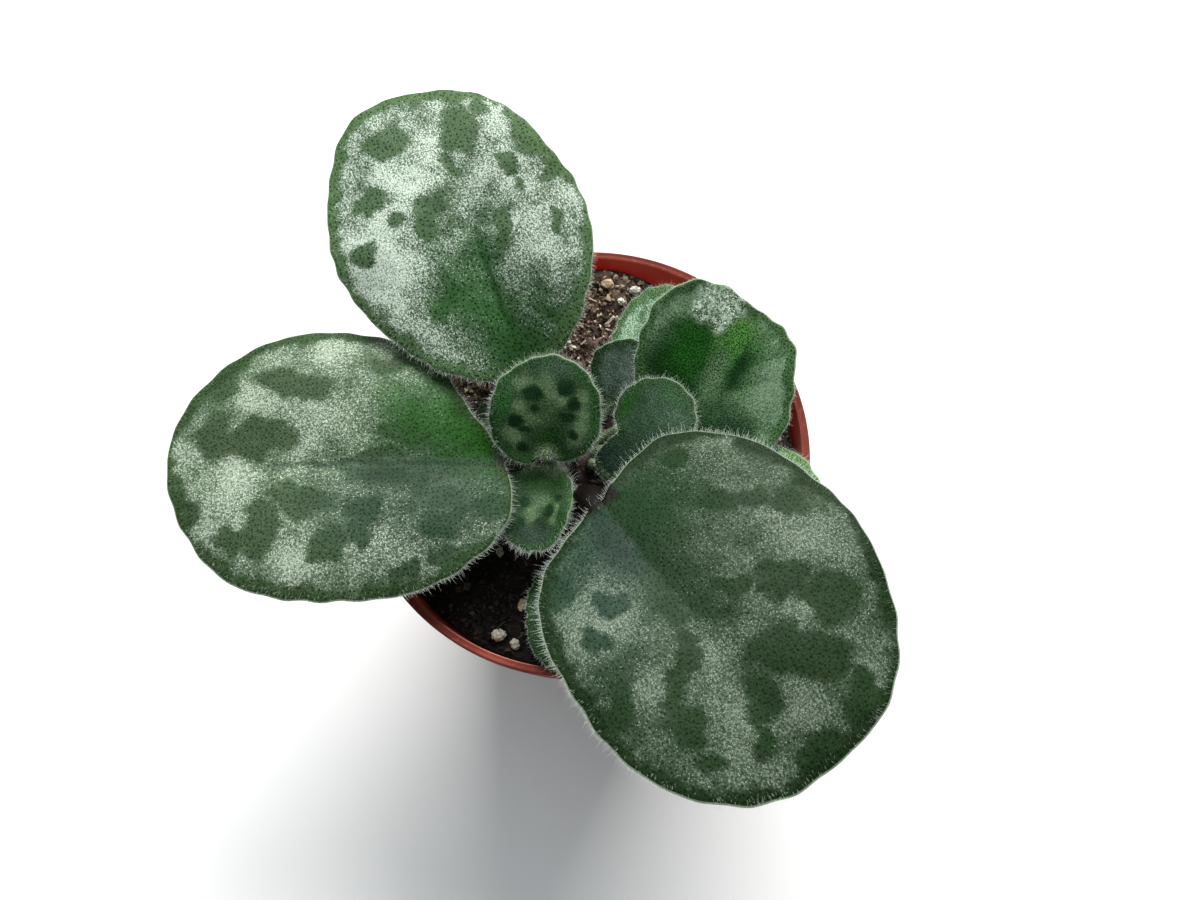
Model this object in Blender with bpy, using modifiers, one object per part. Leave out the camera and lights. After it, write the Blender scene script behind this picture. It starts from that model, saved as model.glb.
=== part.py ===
"""Potted primulina: a rosette of thick, round, hairy leaves growing from a short stem in a 10 cm nursery pot.

The origin is the middle of the pot's underside, +Z is up, and the leaves are named by where they lie
when the plant is seen from the front (-Y).
"""

import math
import random
from dataclasses import dataclass

import bmesh
import bpy
from mathutils import Vector

MM = 0.001
GAP = 0.0003
MERGE = 0.00001

# Nursery pot, thin-walled plastic with a rolled lip
POT_HEIGHT = 88 * MM
LIP_RADIUS = 50 * MM
LIP_WIDTH = 2.6 * MM
LIP_DROP = 2.8 * MM
BAND_HEIGHT = 14 * MM
BAND_STEP = 1.3 * MM
BAND_DRAFT = 0.5 * MM
BASE_RADIUS = 34 * MM
BASE_CHAMFER = 1 * MM
WALL = 1.3 * MM
FLOOR = 1.5 * MM
PAD_RADIUS = 13 * MM
FOOT_WIDTH = 4 * MM
CHANNEL_RISE = 2.8 * MM
CHANNEL_SLOPE = 1 * MM
POT_SEGMENTS = 56
DRAIN_COUNT = 4
DRAIN_RADIUS = 4 * MM
DRAIN_CIRCLE = 21 * MM
DRAIN_SEGMENTS = 16

# Potting mix; a mound is its place in plan, its height and its spread
SOIL_LEVEL = 79 * MM
MOUNDS = (
    (6 * MM, 46 * MM, 5.5 * MM, 11 * MM),
    (46 * MM, 2 * MM, 2.5 * MM, 9 * MM),
)
SOIL_RIPPLE = 0.5 * MM
RIPPLE_LENGTH = 6 * MM
RIPPLE_TURNS = (1.0, 0.5)
SOIL_SEGMENTS = 40
SOIL_STEPS = (0.15, 0.3, 0.45, 0.6, 0.75, 0.88, 1.0)

# Stem, sunk in the mix
STEM_PLACE = (-2 * MM, -1 * MM)
STEM_RADIUS = 4.2 * MM
STEM_TOP = 87 * MM
STEM_FOOT = 68 * MM
STEM_EDGE = 1 * MM
STEM_TAPERS = (0.8, 0.6)
STEM_SEGMENTS = 24

# Leaves: rings of a blade as shares of its radius, and stalks in millimetres
BLADE_STEPS = (0.3, 0.6, 0.85, 1.0)
STALK_COLLAR = 0.6
STALK_SPREAD = 0.6
STALK_PULL = 0.4
STALK_COVER = 0.3
STALK_STEPS = 9
MIDRIB_REACH = 0.62
MIDRIB_TIP_RADIUS = 0.4
MIDRIB_SINK = 0.9
MIDRIB_STEPS = 5
LEAF_GREEN = (0.10, 0.20, 0.09)
YOUNG_GREEN = (0.13, 0.26, 0.12)
TERRACOTTA = (0.30, 0.075, 0.045)
PEAT_BROWN = (0.035, 0.022, 0.016)
STEM_BROWN = (0.12, 0.06, 0.03)
PERLITE_WHITE = (0.75, 0.74, 0.70)
BARK_TAN = (0.36, 0.22, 0.11)


@dataclass
class Leaf:
    """A leaf's place, outline and bend, in millimetres and degrees.

    base: where the blade meets its stalk. heading: the midrib's direction in plan, anticlockwise from +X.
    rise: the midrib's slope. roll: tilt about the midrib, left side up. middle: the blade's middle, along and
    across the midrib from the base. radii: the margin's distances from that middle, evenly spaced
    anticlockwise from the tip. arch: how far the midrib bows up. cup: how far the side margins turn up, or
    down when negative. wave: height, number and turn of the waves along the margin. stalk: radius at the
    stem, radius at the blade, heading from the stem, and height where it leaves the stem.
    """

    name: str
    base: tuple
    heading: float
    rise: float
    roll: float
    length: float
    middle: tuple
    radii: tuple
    arch: float
    cup: float
    wave: tuple
    thickness: float
    stalk: tuple
    segments: int
    colour: tuple = LEAF_GREEN


LEAVES = (
    Leaf("leaf_back_left", (-10, 12, 101), 111.5, 12.5, 0, 69, (34.5, 3),
         (34.5, 35, 30.5, 27.5, 27, 27, 28.5, 32, 34.5, 33.5, 30.5, 28.5, 27, 26, 29, 33),
         6, -5, (0.8, 5, 30), 1.6, (2.0, 1.5, 122, 84.5), 32),
    Leaf("leaf_left", (-16, -5.5, 96), -173.5, 10.5, 0, 66.5, (32, -0.5),
         (34.5, 33, 32, 30, 29, 30.5, 33, 35, 32.5, 29, 28.5, 29, 29, 30.5, 33, 35),
         6, -6, (0.8, 5, 80), 1.6, (2.0, 1.5, 186, 84.5), 32),
    Leaf("leaf_front_right", (5, -17, 100), -55, 9, 0, 65.5, (30, 5),
         (35, 35, 33, 31, 31, 32.5, 35, 37.5, 32.5, 30.5, 32.5, 31.5, 30.5, 32.5, 35, 36),
         6, -4, (0.9, 6, 0), 1.6, (2.2, 1.6, -80, 84.5), 32),
    Leaf("leaf_cupped_right", (22.5, 4, 85), 57.5, 23.5, 1, 31.5, (16, -0.5),
         (15.5, 18, 20.5, 20.5, 19, 18.5, 18.5, 16.5, 16, 18, 21, 20.5, 18, 16.5, 17, 16),
         -1, 5, (0.7, 4, 0), 1.3, (1.4, 1.1, 12, 84.0), 32),
    Leaf("leaf_centre_upper", (-6.5, -5, 97), 84.5, 26, 0, 20.5, (9, 0.5),
         (11.5, 11, 11.5, 11.5, 12.5, 12.5, 10.5, 11.5, 12, 11.5, 11.5, 11.5),
         1, 1, (0.3, 5, 0), 1.2, (1.1, 0.9, 150, 87.3), 24, YOUNG_GREEN),
    Leaf("leaf_centre_lower", (-5, -6.5, 92), -99.5, 8.5, 12, 20, (9.5, -3),
         (10, 10.5, 9, 8.5, 9, 10, 10, 9.5, 9, 8.5, 8, 8.5),
         1, 0, (0.3, 5, 40), 1.2, (1.1, 0.9, -80, 87.3), 22, YOUNG_GREEN),
    Leaf("leaf_wavy_right", (10.5, -11, 88), 55.5, 18.5, -6, 25, (12.5, 4),
         (13, 12, 10.5, 7.5, 5.5, 12.5, 12.5, 12.5, 10, 9, 11, 12.5),
         1.5, -1, (0.4, 4, 20), 1.2, (1.2, 0.9, -28, 84.8), 24, YOUNG_GREEN),
    Leaf("leaf_low_back", (13, 13.5, 82.3), 73.5, 12, 0, 28.5, (14, 0),
         (14, 12, 10, 9.5, 10.5, 11, 14, 11.5, 9.5, 9.5, 11, 13),
         1, 1, (0.3, 4, 0), 1.2, (1.1, 0.9, 42, 81.5), 22),
    Leaf("leaf_folded_small", (5.5, 11.5, 82.4), 68.5, 24.5, 0, 17, (8.5, 0),
         (8, 7, 7, 6.5, 6, 6.5, 8.5, 6.5, 5.5, 6, 7.5, 8.5),
         0, 2, (0.2, 3, 0), 1.1, (1.0, 0.8, 74, 82.5), 20),
    Leaf("leaf_low_right", (20, -5, 82.5), -14, 16, 0, 32.5, (16.5, -0.5),
         (16, 14, 11.5, 10.5, 11, 13.5, 16, 12, 10, 10.5, 11.5, 14),
         -1, 0, (0.3, 4, 0), 1.2, (1.1, 0.9, -12, 81.3), 22),
    Leaf("leaf_low_front", (-1, -21, 82), -94, 18.5, 0, 30, (15, -1),
         (14.5, 12, 9, 8, 8.5, 11, 14.5, 10.5, 8.5, 8, 8.5, 11.5),
         1, 0, (0.3, 4, 0), 1.2, (1.1, 0.9, -106, 81.3), 22),
    Leaf("leaf_low_left", (-14, 1.5, 84), 134, 27.5, 0, 13, (6.5, 0.5),
         (6.5, 5.5, 4.5, 4.5, 4.5, 5, 6.5, 6.5, 5, 4, 4.5, 5.5),
         0, 1, (0.2, 3, 0), 1.1, (1.0, 0.8, 156, 82.0), 18, YOUNG_GREEN),
)

# Loose lumps on the mix: name, place in plan, half sizes, turn in degrees, colour; all lengths in millimetres
LUMP_ROUGHNESS = (0.85, 1.1)
LUMPS = (
    ("perlite_front_large", (-18.0, -40.0), (2.0, 1.7, 1.4), 20, PERLITE_WHITE),
    ("perlite_front_small", (-14.5, -42.0), (1.4, 1.2, 1.0), 70, PERLITE_WHITE),
    ("perlite_middle", (-18.5, -22.0), (1.4, 1.0, 0.9), 110, PERLITE_WHITE),
    ("perlite_right", (43.5, 2.5), (1.5, 1.1, 1.0), 35, PERLITE_WHITE),
    ("perlite_back", (12.5, 41.5), (1.6, 1.3, 1.1), 0, PERLITE_WHITE),
    ("perlite_back_small", (9.0, 38.5), (1.2, 0.9, 0.8), 40, PERLITE_WHITE),
    ("bark_chip_back", (6.0, 42.5), (2.2, 1.3, 0.8), 15, BARK_TAN),
    ("bark_chip_front", (-13.0, -33.5), (1.9, 0.9, 0.8), 60, BARK_TAN),
)


def clear_scene():
    for item in list(bpy.data.objects):
        bpy.data.objects.remove(item, do_unlink=True)


def make_collection(name):
    collection = bpy.data.collections.new(name)
    bpy.context.scene.collection.children.link(collection)
    return collection


def principled(name, colour, roughness, metallic=0.0):
    material = bpy.data.materials.new(name)
    material.use_nodes = True
    shader = material.node_tree.nodes["Principled BSDF"]
    shader.inputs["Base Color"].default_value = (*colour, 1.0)
    shader.inputs["Roughness"].default_value = roughness
    shader.inputs["Metallic"].default_value = metallic
    return material


def add_object(name, mesh, collection, material=None):
    item = bpy.data.objects.new(name, mesh)
    collection.objects.link(item)
    if material is not None:
        mesh.materials.append(material)
    mesh.shade_smooth()
    return item


def mark_as_cutter(item):
    item.hide_render = True
    item.display_type = "WIRE"


def turned(name, profile, segments, collection, material=None):
    """A profile of (radius, height) points in the XZ plane, turned about Z."""
    mesh = bpy.data.meshes.new(name)
    points = [(radius, 0.0, height) for radius, height in profile]
    edges = [(i, i + 1) for i in range(len(points) - 1)]
    mesh.from_pydata(points, edges, [])
    item = add_object(name, mesh, collection, material)
    screw = item.modifiers.new("Turn", "SCREW")
    screw.angle = math.tau
    screw.steps = segments
    screw.render_steps = segments
    screw.use_merge_vertices = True
    screw.merge_threshold = MERGE
    screw.use_smooth_shade = True
    return item


def boolean(item, other, operation):
    modifier = item.modifiers.new(operation.title(), "BOOLEAN")
    modifier.operation = operation
    modifier.solver = "EXACT"
    modifier.object = other


def lip_points(steps=6):
    """The rolled lip, from its inner side over the top to its outer underside."""
    middle = LIP_RADIUS - LIP_WIDTH / 2
    points = []
    for i in range(steps + 1):
        angle = math.pi * (1 - i / steps)
        radius = middle + LIP_WIDTH / 2 * math.cos(angle)
        points.append((radius, POT_HEIGHT - LIP_WIDTH / 2 + LIP_WIDTH / 2 * math.sin(angle)))
    return points


def outer_wall_radius(height):
    """Outside of the tapered body, below the rim band."""
    top = POT_HEIGHT - BAND_HEIGHT
    top_radius = LIP_RADIUS - LIP_WIDTH + WALL - BAND_DRAFT - BAND_STEP
    return BASE_RADIUS + (top_radius - BASE_RADIUS) * height / top


def floor_rings(gap):
    """The inside of the floor, outwards: the pad, up over the drain channel, and down at the foot ring."""
    top = CHANNEL_RISE + FLOOR + gap
    low = FLOOR + gap
    inner = PAD_RADIUS - WALL - gap
    outer = BASE_RADIUS - BASE_CHAMFER - FOOT_WIDTH + WALL + gap
    return [(inner, low), (inner + CHANNEL_SLOPE, top), (outer - CHANNEL_SLOPE, top), (outer, low)]


def pot_profile():
    band_foot = POT_HEIGHT - BAND_HEIGHT
    inner_top = LIP_RADIUS - LIP_WIDTH
    inner_foot = inner_top - BAND_DRAFT
    foot_inside = BASE_RADIUS - BASE_CHAMFER - FOOT_WIDTH
    lip = lip_points()
    inside = [
        (0.0, FLOOR),
        *floor_rings(0.0),
        (outer_wall_radius(FLOOR) - WALL - BASE_CHAMFER, FLOOR),
        (outer_wall_radius(FLOOR + BASE_CHAMFER) - WALL, FLOOR + BASE_CHAMFER),
        (outer_wall_radius(band_foot) - WALL, band_foot),
        (inner_foot, band_foot + BAND_STEP),
    ]
    outside = [
        (LIP_RADIUS, POT_HEIGHT - LIP_DROP),
        (inner_top + WALL, POT_HEIGHT - LIP_DROP),
        (inner_foot + WALL, band_foot),
        (outer_wall_radius(band_foot), band_foot - BAND_STEP),
        (outer_wall_radius(BASE_CHAMFER), BASE_CHAMFER),
        (BASE_RADIUS - BASE_CHAMFER, 0.0),
        (foot_inside, 0.0),
        (foot_inside - CHANNEL_SLOPE, CHANNEL_RISE),
        (PAD_RADIUS + CHANNEL_SLOPE, CHANNEL_RISE),
        (PAD_RADIUS, 0.0),
        (0.0, 0.0),
    ]
    return inside + lip + outside


def drain_cutter(collection):
    """The drain holes' cylinders, as one mesh."""
    shape = bmesh.new()
    for i in range(DRAIN_COUNT):
        angle = math.tau * (i + 0.5) / DRAIN_COUNT
        made = bmesh.ops.create_cone(
            shape, cap_ends=True, segments=DRAIN_SEGMENTS,
            radius1=DRAIN_RADIUS, radius2=DRAIN_RADIUS, depth=4 * FLOOR)
        place = Vector((DRAIN_CIRCLE * math.cos(angle), DRAIN_CIRCLE * math.sin(angle), CHANNEL_RISE))
        bmesh.ops.translate(shape, verts=made["verts"], vec=place)
    mesh = bpy.data.meshes.new("drain_holes")
    shape.to_mesh(mesh)
    shape.free()
    cutter = add_object("drain_holes", mesh, collection)
    mark_as_cutter(cutter)
    return cutter


def build_pot(parts, cutters):
    pot = turned("nursery_pot", pot_profile(), POT_SEGMENTS, parts, principled("terracotta", TERRACOTTA, 0.5))
    boolean(pot, drain_cutter(cutters), "DIFFERENCE")
    return pot


def soil_height(x, y):
    """Top of the potting mix: nearly level, slightly uneven, heaped against the wall at the mounds."""
    turn_x, turn_y = RIPPLE_TURNS
    ripple = math.sin(x / RIPPLE_LENGTH + turn_x) * math.cos(y / RIPPLE_LENGTH + turn_y)
    height = SOIL_LEVEL + SOIL_RIPPLE * ripple
    for mound_x, mound_y, rise, spread in MOUNDS:
        away = math.hypot(x - mound_x, y - mound_y) / spread
        height += rise * math.exp(-away * away)
    return height


def soil_rings():
    """Rings of the mix: out across the top, down inside the wall, and in across the floor."""
    band_foot = POT_HEIGHT - BAND_HEIGHT
    top_radius = LIP_RADIUS - LIP_WIDTH - BAND_DRAFT - GAP
    rings = [(top_radius * step, None) for step in SOIL_STEPS]
    side = outer_wall_radius(band_foot) - WALL - GAP
    foot = outer_wall_radius(FLOOR + BASE_CHAMFER) - WALL - GAP
    rings.append((top_radius, band_foot + BAND_STEP + GAP))
    rings.append((side, band_foot))
    rings.append((foot, FLOOR + BASE_CHAMFER))
    rings.append((foot - BASE_CHAMFER, FLOOR + GAP))
    rings.extend(reversed(floor_rings(GAP)))
    return rings


def build_soil(parts, cutters):
    shape = bmesh.new()
    angles = [math.tau * i / SOIL_SEGMENTS for i in range(SOIL_SEGMENTS)]
    loops = []
    for radius, height in soil_rings():
        loop = []
        for angle in angles:
            x = radius * math.cos(angle)
            y = radius * math.sin(angle)
            loop.append(shape.verts.new((x, y, soil_height(x, y) if height is None else height)))
        loops.append(loop)
    fan_cap(shape, loops[0], (0.0, 0.0, soil_height(0.0, 0.0)))
    fan_cap(shape, list(reversed(loops[-1])), (0.0, 0.0, FLOOR + GAP))
    for inner, outer in zip(loops, loops[1:]):
        bridge(shape, inner, outer)
    mesh = bpy.data.meshes.new("potting_mix")
    shape.to_mesh(mesh)
    shape.free()
    soil = add_object("potting_mix", mesh, parts, principled("potting_mix", PEAT_BROWN, 0.95))
    socket = turned("stem_socket", stem_profile(GAP), STEM_SEGMENTS, cutters)
    socket.location = (*STEM_PLACE, 0.0)
    mark_as_cutter(socket)
    boolean(soil, socket, "DIFFERENCE")
    return soil


def fan_cap(shape, loop, middle):
    centre = shape.verts.new(middle)
    for i, vert in enumerate(loop):
        shape.faces.new((centre, vert, loop[(i + 1) % len(loop)]))


def bridge(shape, inner, outer):
    for i, vert in enumerate(inner):
        j = (i + 1) % len(inner)
        shape.faces.new((vert, outer[i], outer[j], inner[j]))


def stem_profile(grow):
    """The stem's outline, from its flat top down its side to its foot, grown outwards for its socket."""
    waist, foot = STEM_TAPERS
    return [
        (0.0, STEM_TOP + grow),
        (STEM_RADIUS - STEM_EDGE + grow, STEM_TOP + grow),
        (STEM_RADIUS + grow, STEM_TOP - STEM_EDGE + grow),
        (STEM_RADIUS + grow, SOIL_LEVEL),
        (STEM_RADIUS * waist + grow, STEM_FOOT + STEM_EDGE),
        (STEM_RADIUS * foot + grow, STEM_FOOT - grow),
        (0.0, STEM_FOOT - grow),
    ]


def build_stem(parts):
    stem = turned("crown_stem", stem_profile(0.0), STEM_SEGMENTS, parts, principled("stem", STEM_BROWN, 0.8))
    stem.location = (*STEM_PLACE, 0.0)
    return stem


def leaf_axes(leaf):
    """Unit vectors along the midrib, to its left, and up from the blade."""
    heading = math.radians(leaf.heading)
    rise = math.radians(leaf.rise)
    roll = math.radians(leaf.roll)
    along = Vector((math.cos(heading) * math.cos(rise), math.sin(heading) * math.cos(rise), math.sin(rise)))
    level = Vector((0.0, 0.0, 1.0)).cross(along).normalized()
    upright = along.cross(level)
    left = level * math.cos(roll) + upright * math.sin(roll)
    return along, left, along.cross(left)


def outline_radius(leaf, angle):
    """Distance from the blade's middle to its margin, on a closed Catmull-Rom curve through the radii."""
    count = len(leaf.radii)
    place = (angle / math.tau * count) % count
    i = int(place)
    t = place - i
    a, b, c, d = (leaf.radii[(i + k) % count] for k in (-1, 0, 1, 2))
    return b + 0.5 * t * (c - a + t * (2 * a - 5 * b + 4 * c - d + t * (3 * (b - c) + d - a)))


def blade_height(leaf, along, across, reach):
    """How far the blade stands off its flat plane; reach is 0 in the middle and 1 at the margin."""
    step = min(max(along / leaf.length, 0.0), 1.0)
    bow = leaf.arch * 4 * step * (1 - step)
    side = leaf.cup * (across / max(leaf.radii)) ** 2
    size, count, turn = leaf.wave
    angle = math.atan2(across - leaf.middle[1], along - leaf.middle[0])
    return bow + side + size * reach ** 3 * math.sin(count * angle + math.radians(turn))


def blade_point(leaf, along, across, reach, depth=0.0):
    """A point of the blade's upper face, or one that far beneath it, in metres."""
    u, v, n = leaf_axes(leaf)
    height = blade_height(leaf, along, across, reach) - depth
    return (Vector(leaf.base) + u * along + v * across + n * height) * MM


def blade_mesh(leaf):
    """The upper face of the blade, as rings about its middle."""
    shape = bmesh.new()
    loops = []
    for reach in BLADE_STEPS:
        loop = []
        for i in range(leaf.segments):
            angle = math.tau * i / leaf.segments
            radius = outline_radius(leaf, angle) * reach
            along = leaf.middle[0] + radius * math.cos(angle)
            across = leaf.middle[1] + radius * math.sin(angle)
            loop.append(shape.verts.new(blade_point(leaf, along, across, reach)))
        loops.append(loop)
    fan_cap(shape, loops[0], blade_point(leaf, leaf.middle[0], leaf.middle[1], 0.0))
    for inner, outer in zip(loops, loops[1:]):
        bridge(shape, inner, outer)
    mesh = bpy.data.meshes.new(leaf.name)
    shape.to_mesh(mesh)
    shape.free()
    return mesh


def stalk_start(leaf):
    """Where the stalk leaves the stem, and the way it sets out: sideways from its side, up from its top."""
    radius, _, heading, height = leaf.stalk
    direction = Vector((math.cos(math.radians(heading)), math.sin(math.radians(heading)), 0.0))
    middle = Vector((STEM_PLACE[0] / MM, STEM_PLACE[1] / MM, height))
    if height * MM > STEM_TOP:
        return middle + direction * (radius + STALK_SPREAD), Vector((0.0, 0.0, 1.0))
    return middle + direction * (STEM_RADIUS + GAP) / MM, direction


def stalk_path(leaf):
    """Points and radii of the stalk, and of the midrib that it becomes under the blade, in millimetres."""
    start, out = stalk_start(leaf)
    root, foot = leaf.stalk[0], leaf.stalk[1]
    u, _, _ = leaf_axes(leaf)
    end = blade_point(leaf, 0.0, 0.0, 0.0, foot + STALK_COVER) / MM
    pull = (end - start).length * STALK_PULL
    bend = start + out * STALK_COLLAR
    controls = (bend, bend + out * pull, end - u * pull, end)
    points = [(start, root)]
    for i in range(STALK_STEPS):
        t = i / STALK_STEPS
        weights = ((1 - t) ** 3, 3 * t * (1 - t) ** 2, 3 * t * t * (1 - t), t ** 3)
        place = sum((c * w for c, w in zip(controls, weights)), Vector())
        points.append((place, root + (foot - root) * t))
    for i in range(MIDRIB_STEPS + 1):
        t = i / MIDRIB_STEPS
        radius = foot + (MIDRIB_TIP_RADIUS - foot) * math.sqrt(t)
        along = leaf.length * MIDRIB_REACH * t
        depth = max(leaf.thickness * MIDRIB_SINK, radius + STALK_COVER)
        points.append((blade_point(leaf, along, 0.0, 0.0, depth) / MM, radius))
    return points


def stalk_object(leaf, cutters):
    """The stalk and midrib as a tapered tube, made a mesh so that it can be joined to the blade."""
    points = stalk_path(leaf)
    curve = bpy.data.curves.new(leaf.name + "_stalk", "CURVE")
    curve.dimensions = "3D"
    curve.bevel_depth = MM
    curve.bevel_resolution = 2
    curve.use_fill_caps = True
    spline = curve.splines.new("POLY")
    spline.points.add(len(points) - 1)
    for target, (place, radius) in zip(spline.points, points):
        target.co = (*(place * MM), 1.0)
        target.radius = radius
    tube = bpy.data.objects.new(leaf.name + "_tube", curve)
    cutters.objects.link(tube)
    mesh = bpy.data.meshes.new_from_object(tube.evaluated_get(bpy.context.evaluated_depsgraph_get()))
    shape = bmesh.new()
    shape.from_mesh(mesh)
    bmesh.ops.remove_doubles(shape, verts=shape.verts, dist=MERGE)
    shape.to_mesh(mesh)
    shape.free()
    stalk = bpy.data.objects.new(leaf.name + "_stalk", mesh)
    stalk.matrix_world = tube.matrix_world
    cutters.objects.link(stalk)
    bpy.data.objects.remove(tube, do_unlink=True)
    mark_as_cutter(stalk)
    return stalk


def build_leaf(leaf, parts, cutters):
    blade = add_object(leaf.name, blade_mesh(leaf), parts, principled(leaf.name, leaf.colour, 0.55))
    shell = blade.modifiers.new("Thickness", "SOLIDIFY")
    shell.thickness = leaf.thickness * MM
    shell.offset = -1.0
    boolean(blade, stalk_object(leaf, cutters), "UNION")
    return blade


def build_lump(name, place, half, turn, colour, parts):
    """A rough grain lying on the mix."""
    rng = random.Random(name)
    shape = bmesh.new()
    bmesh.ops.create_icosphere(shape, subdivisions=1, radius=1.0)
    for vert in shape.verts:
        rough = rng.uniform(*LUMP_ROUGHNESS)
        vert.co = Vector((vert.co.x * half[0], vert.co.y * half[1], vert.co.z * half[2])) * rough * MM
    lowest = min(vert.co.z for vert in shape.verts)
    mesh = bpy.data.meshes.new(name)
    shape.to_mesh(mesh)
    shape.free()
    lump = add_object(name, mesh, parts, principled(name, colour, 0.9))
    x = place[0] * MM
    y = place[1] * MM
    lump.location = (x, y, soil_height(x, y) - lowest + GAP)
    lump.rotation_euler = (0.0, 0.0, math.radians(turn))
    return lump


def main():
    clear_scene()
    parts = make_collection("potted_primulina")
    cutters = make_collection("cutters")
    build_pot(parts, cutters)
    build_soil(parts, cutters)
    build_stem(parts)
    for leaf in LEAVES:
        build_leaf(leaf, parts, cutters)
    for lump in LUMPS:
        build_lump(*lump, parts)


main()
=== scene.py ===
"""Looks of the potted primulina: quilted silver leaves with their hairs, the potting mix, and the nursery pot.

Lengths are in millimetres until a mesh is made, which MM turns into metres. The leaves, the mounds of the mix
and the stem repeat the solids' own sizes; the rest comes from the frame.
"""

import math
from dataclasses import dataclass

import bmesh
import bpy
import numpy as np
from mathutils import Matrix, Vector, noise


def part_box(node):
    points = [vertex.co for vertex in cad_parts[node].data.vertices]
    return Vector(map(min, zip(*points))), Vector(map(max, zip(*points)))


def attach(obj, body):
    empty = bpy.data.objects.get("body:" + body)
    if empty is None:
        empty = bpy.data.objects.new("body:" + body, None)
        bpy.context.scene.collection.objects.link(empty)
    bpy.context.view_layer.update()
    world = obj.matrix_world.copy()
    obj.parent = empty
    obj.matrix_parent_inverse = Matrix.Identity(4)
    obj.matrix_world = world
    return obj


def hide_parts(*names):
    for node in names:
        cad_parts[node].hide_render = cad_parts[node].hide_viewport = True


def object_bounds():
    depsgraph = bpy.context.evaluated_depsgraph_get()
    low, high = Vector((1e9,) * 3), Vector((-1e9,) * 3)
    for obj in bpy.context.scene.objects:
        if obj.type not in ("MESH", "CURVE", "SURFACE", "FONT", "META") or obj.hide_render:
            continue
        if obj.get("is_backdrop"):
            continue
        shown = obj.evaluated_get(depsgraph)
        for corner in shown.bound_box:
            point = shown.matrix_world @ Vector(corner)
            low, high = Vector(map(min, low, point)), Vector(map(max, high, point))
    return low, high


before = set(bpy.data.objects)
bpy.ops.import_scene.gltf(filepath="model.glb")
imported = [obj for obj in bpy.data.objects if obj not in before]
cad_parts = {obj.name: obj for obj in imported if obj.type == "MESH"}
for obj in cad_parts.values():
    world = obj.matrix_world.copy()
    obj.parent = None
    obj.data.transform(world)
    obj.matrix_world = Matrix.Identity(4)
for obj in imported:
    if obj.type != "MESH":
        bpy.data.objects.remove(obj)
cad_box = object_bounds()

MM = 0.001
TAU = math.tau
MERGE = 0.002

# Camera: place in metres, line of sight and right-hand side, lens and sensor in millimetres
CAMERA_PLACE = (0.0150, -0.0709, 0.2736)
CAMERA_SIGHT = (-0.0543, 0.3515, -0.9346)
CAMERA_RIGHT = (0.9983, 0.0, -0.0580)
CAMERA_LENS = 27.03
CAMERA_SENSOR = 36.0
CLIP_START = 0.01

# Light, in metres and watts: each lamp's place, sides, power and colour, and where they all aim; the world's
# colour and strength; the floor's half side
LAMPS = {
    "window": ((0.22, 0.98, 1.02), (1.1, 0.9), 42.0, (1.0, 0.99, 0.97)),
    "sky": ((-0.4, 0.1, 1.3), (1.2, 1.2), 6.5, (0.88, 0.95, 1.0)),
}
LAMP_AIM = (0.0, 0.0, 0.05)
WORLD_COLOUR = (0.93, 0.97, 1.0, 1.0)
WORLD_STRENGTH = 0.17
FLOOR_SIZE = 3.0

# Pot, from the frame; the wall and the lip as moulded
POT_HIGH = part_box("nursery_pot")[1] / MM
LIP_RADIUS = POT_HIGH.x
POT_HEIGHT = POT_HIGH.z
LIP_WIDTH = 1.7
LIP_DROP = 2.8
LIP_BEAD = 0.40
LIP_RIDGE = 0.32
LIP_RIDGE_DROP = 0.20
BAND_HEIGHT = 14.0
BAND_STEP = 1.3
BAND_DRAFT = 0.5
BASE_RADIUS = 34.0
BASE_CHAMFER = 1.0
WALL = 1.3
FLOOR = 1.5
PAD_RADIUS = 13.0
FOOT_WIDTH = 4.0
CHANNEL_RISE = 2.8
CHANNEL_SLOPE = 1.0
CORNER_ROUND = 1.2
EDGE_ROUND = 0.6
POT_SEGMENTS = 192
DRAIN_COUNT = 4
DRAIN_RADIUS = 4.0
DRAIN_CIRCLE = 21.0
DRAIN_SEGMENTS = 40
SHARP_ANGLE = 40
BAND_FOOT = POT_HEIGHT - BAND_HEIGHT
INNER_TOP = LIP_RADIUS - LIP_WIDTH
INNER_FOOT = INNER_TOP - BAND_DRAFT

# The dust on the pot's inner wall fades out between these heights, in metres like every size in a material
DUST_HEIGHTS = (0.0775, 0.0835)

# Potting mix. A mound is its place in plan, its height and its spread. The bed's roughness is pairs of a height
# and a size. Its colour is darkened in front as painted shade, less and less towards the back over the shade
# range.
SOIL_LEVEL = 79.0
SOIL_GAP = 0.3
MOUNDS = ((6.0, 46.0, 5.5, 11.0), (46.0, 2.0, 2.5, 9.0))
RIPPLE = 0.5
RIPPLE_LENGTH = 6.0
RIPPLE_TURNS = (1.0, 0.5)
BED_SEGMENTS = 220
BED_RINGS = 72
BED_ROUGHNESS = ((0.9, 2.8), (0.8, 1.1))
FRONT_SHADE_LEAST = 0.08
FRONT_SHADE_RANGE = (-24.0, 26.0)
FRONT_SHADE_POWER = 1.4

# Loose grains, chips and fibres. A pair is the least and the most. The extremes are against the middle size, and
# a grain's rise and its sides' factors against its own. Where both strips meet, at the back, more are pale.
GRAIN_MARGIN = 0.5
GRAIN_SPREAD = 0.45
GRAIN_EXTREMES = (0.5, 3.2)
GRAIN_RISE = 0.7
GRAIN_UNEVEN = (0.7, 1.15)
GRAIN_SHADES = (0.6, 1.3)
WALL_STRIP = (32.0, 40.0)
BACK_STRIP = (8.0, 24.0)
PALE_SHARE = 0.45
GRAIN_COUNT = 14000
GRAIN_SIZE = 0.38
GRAIN_FACTORS = ((0.6, 0.6, 0.6), (1.3, 1.3, 1.3))
CHIP_COUNT = 6000
CHIP_SIZE = 0.34
CHIP_FACTORS = ((0.9, 0.3, 0.2), (2.8, 0.6, 0.5))
CHIP_TILT = 0.6
FIBRE_COUNT = 140
FIBRE_POINTS = 7
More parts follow.
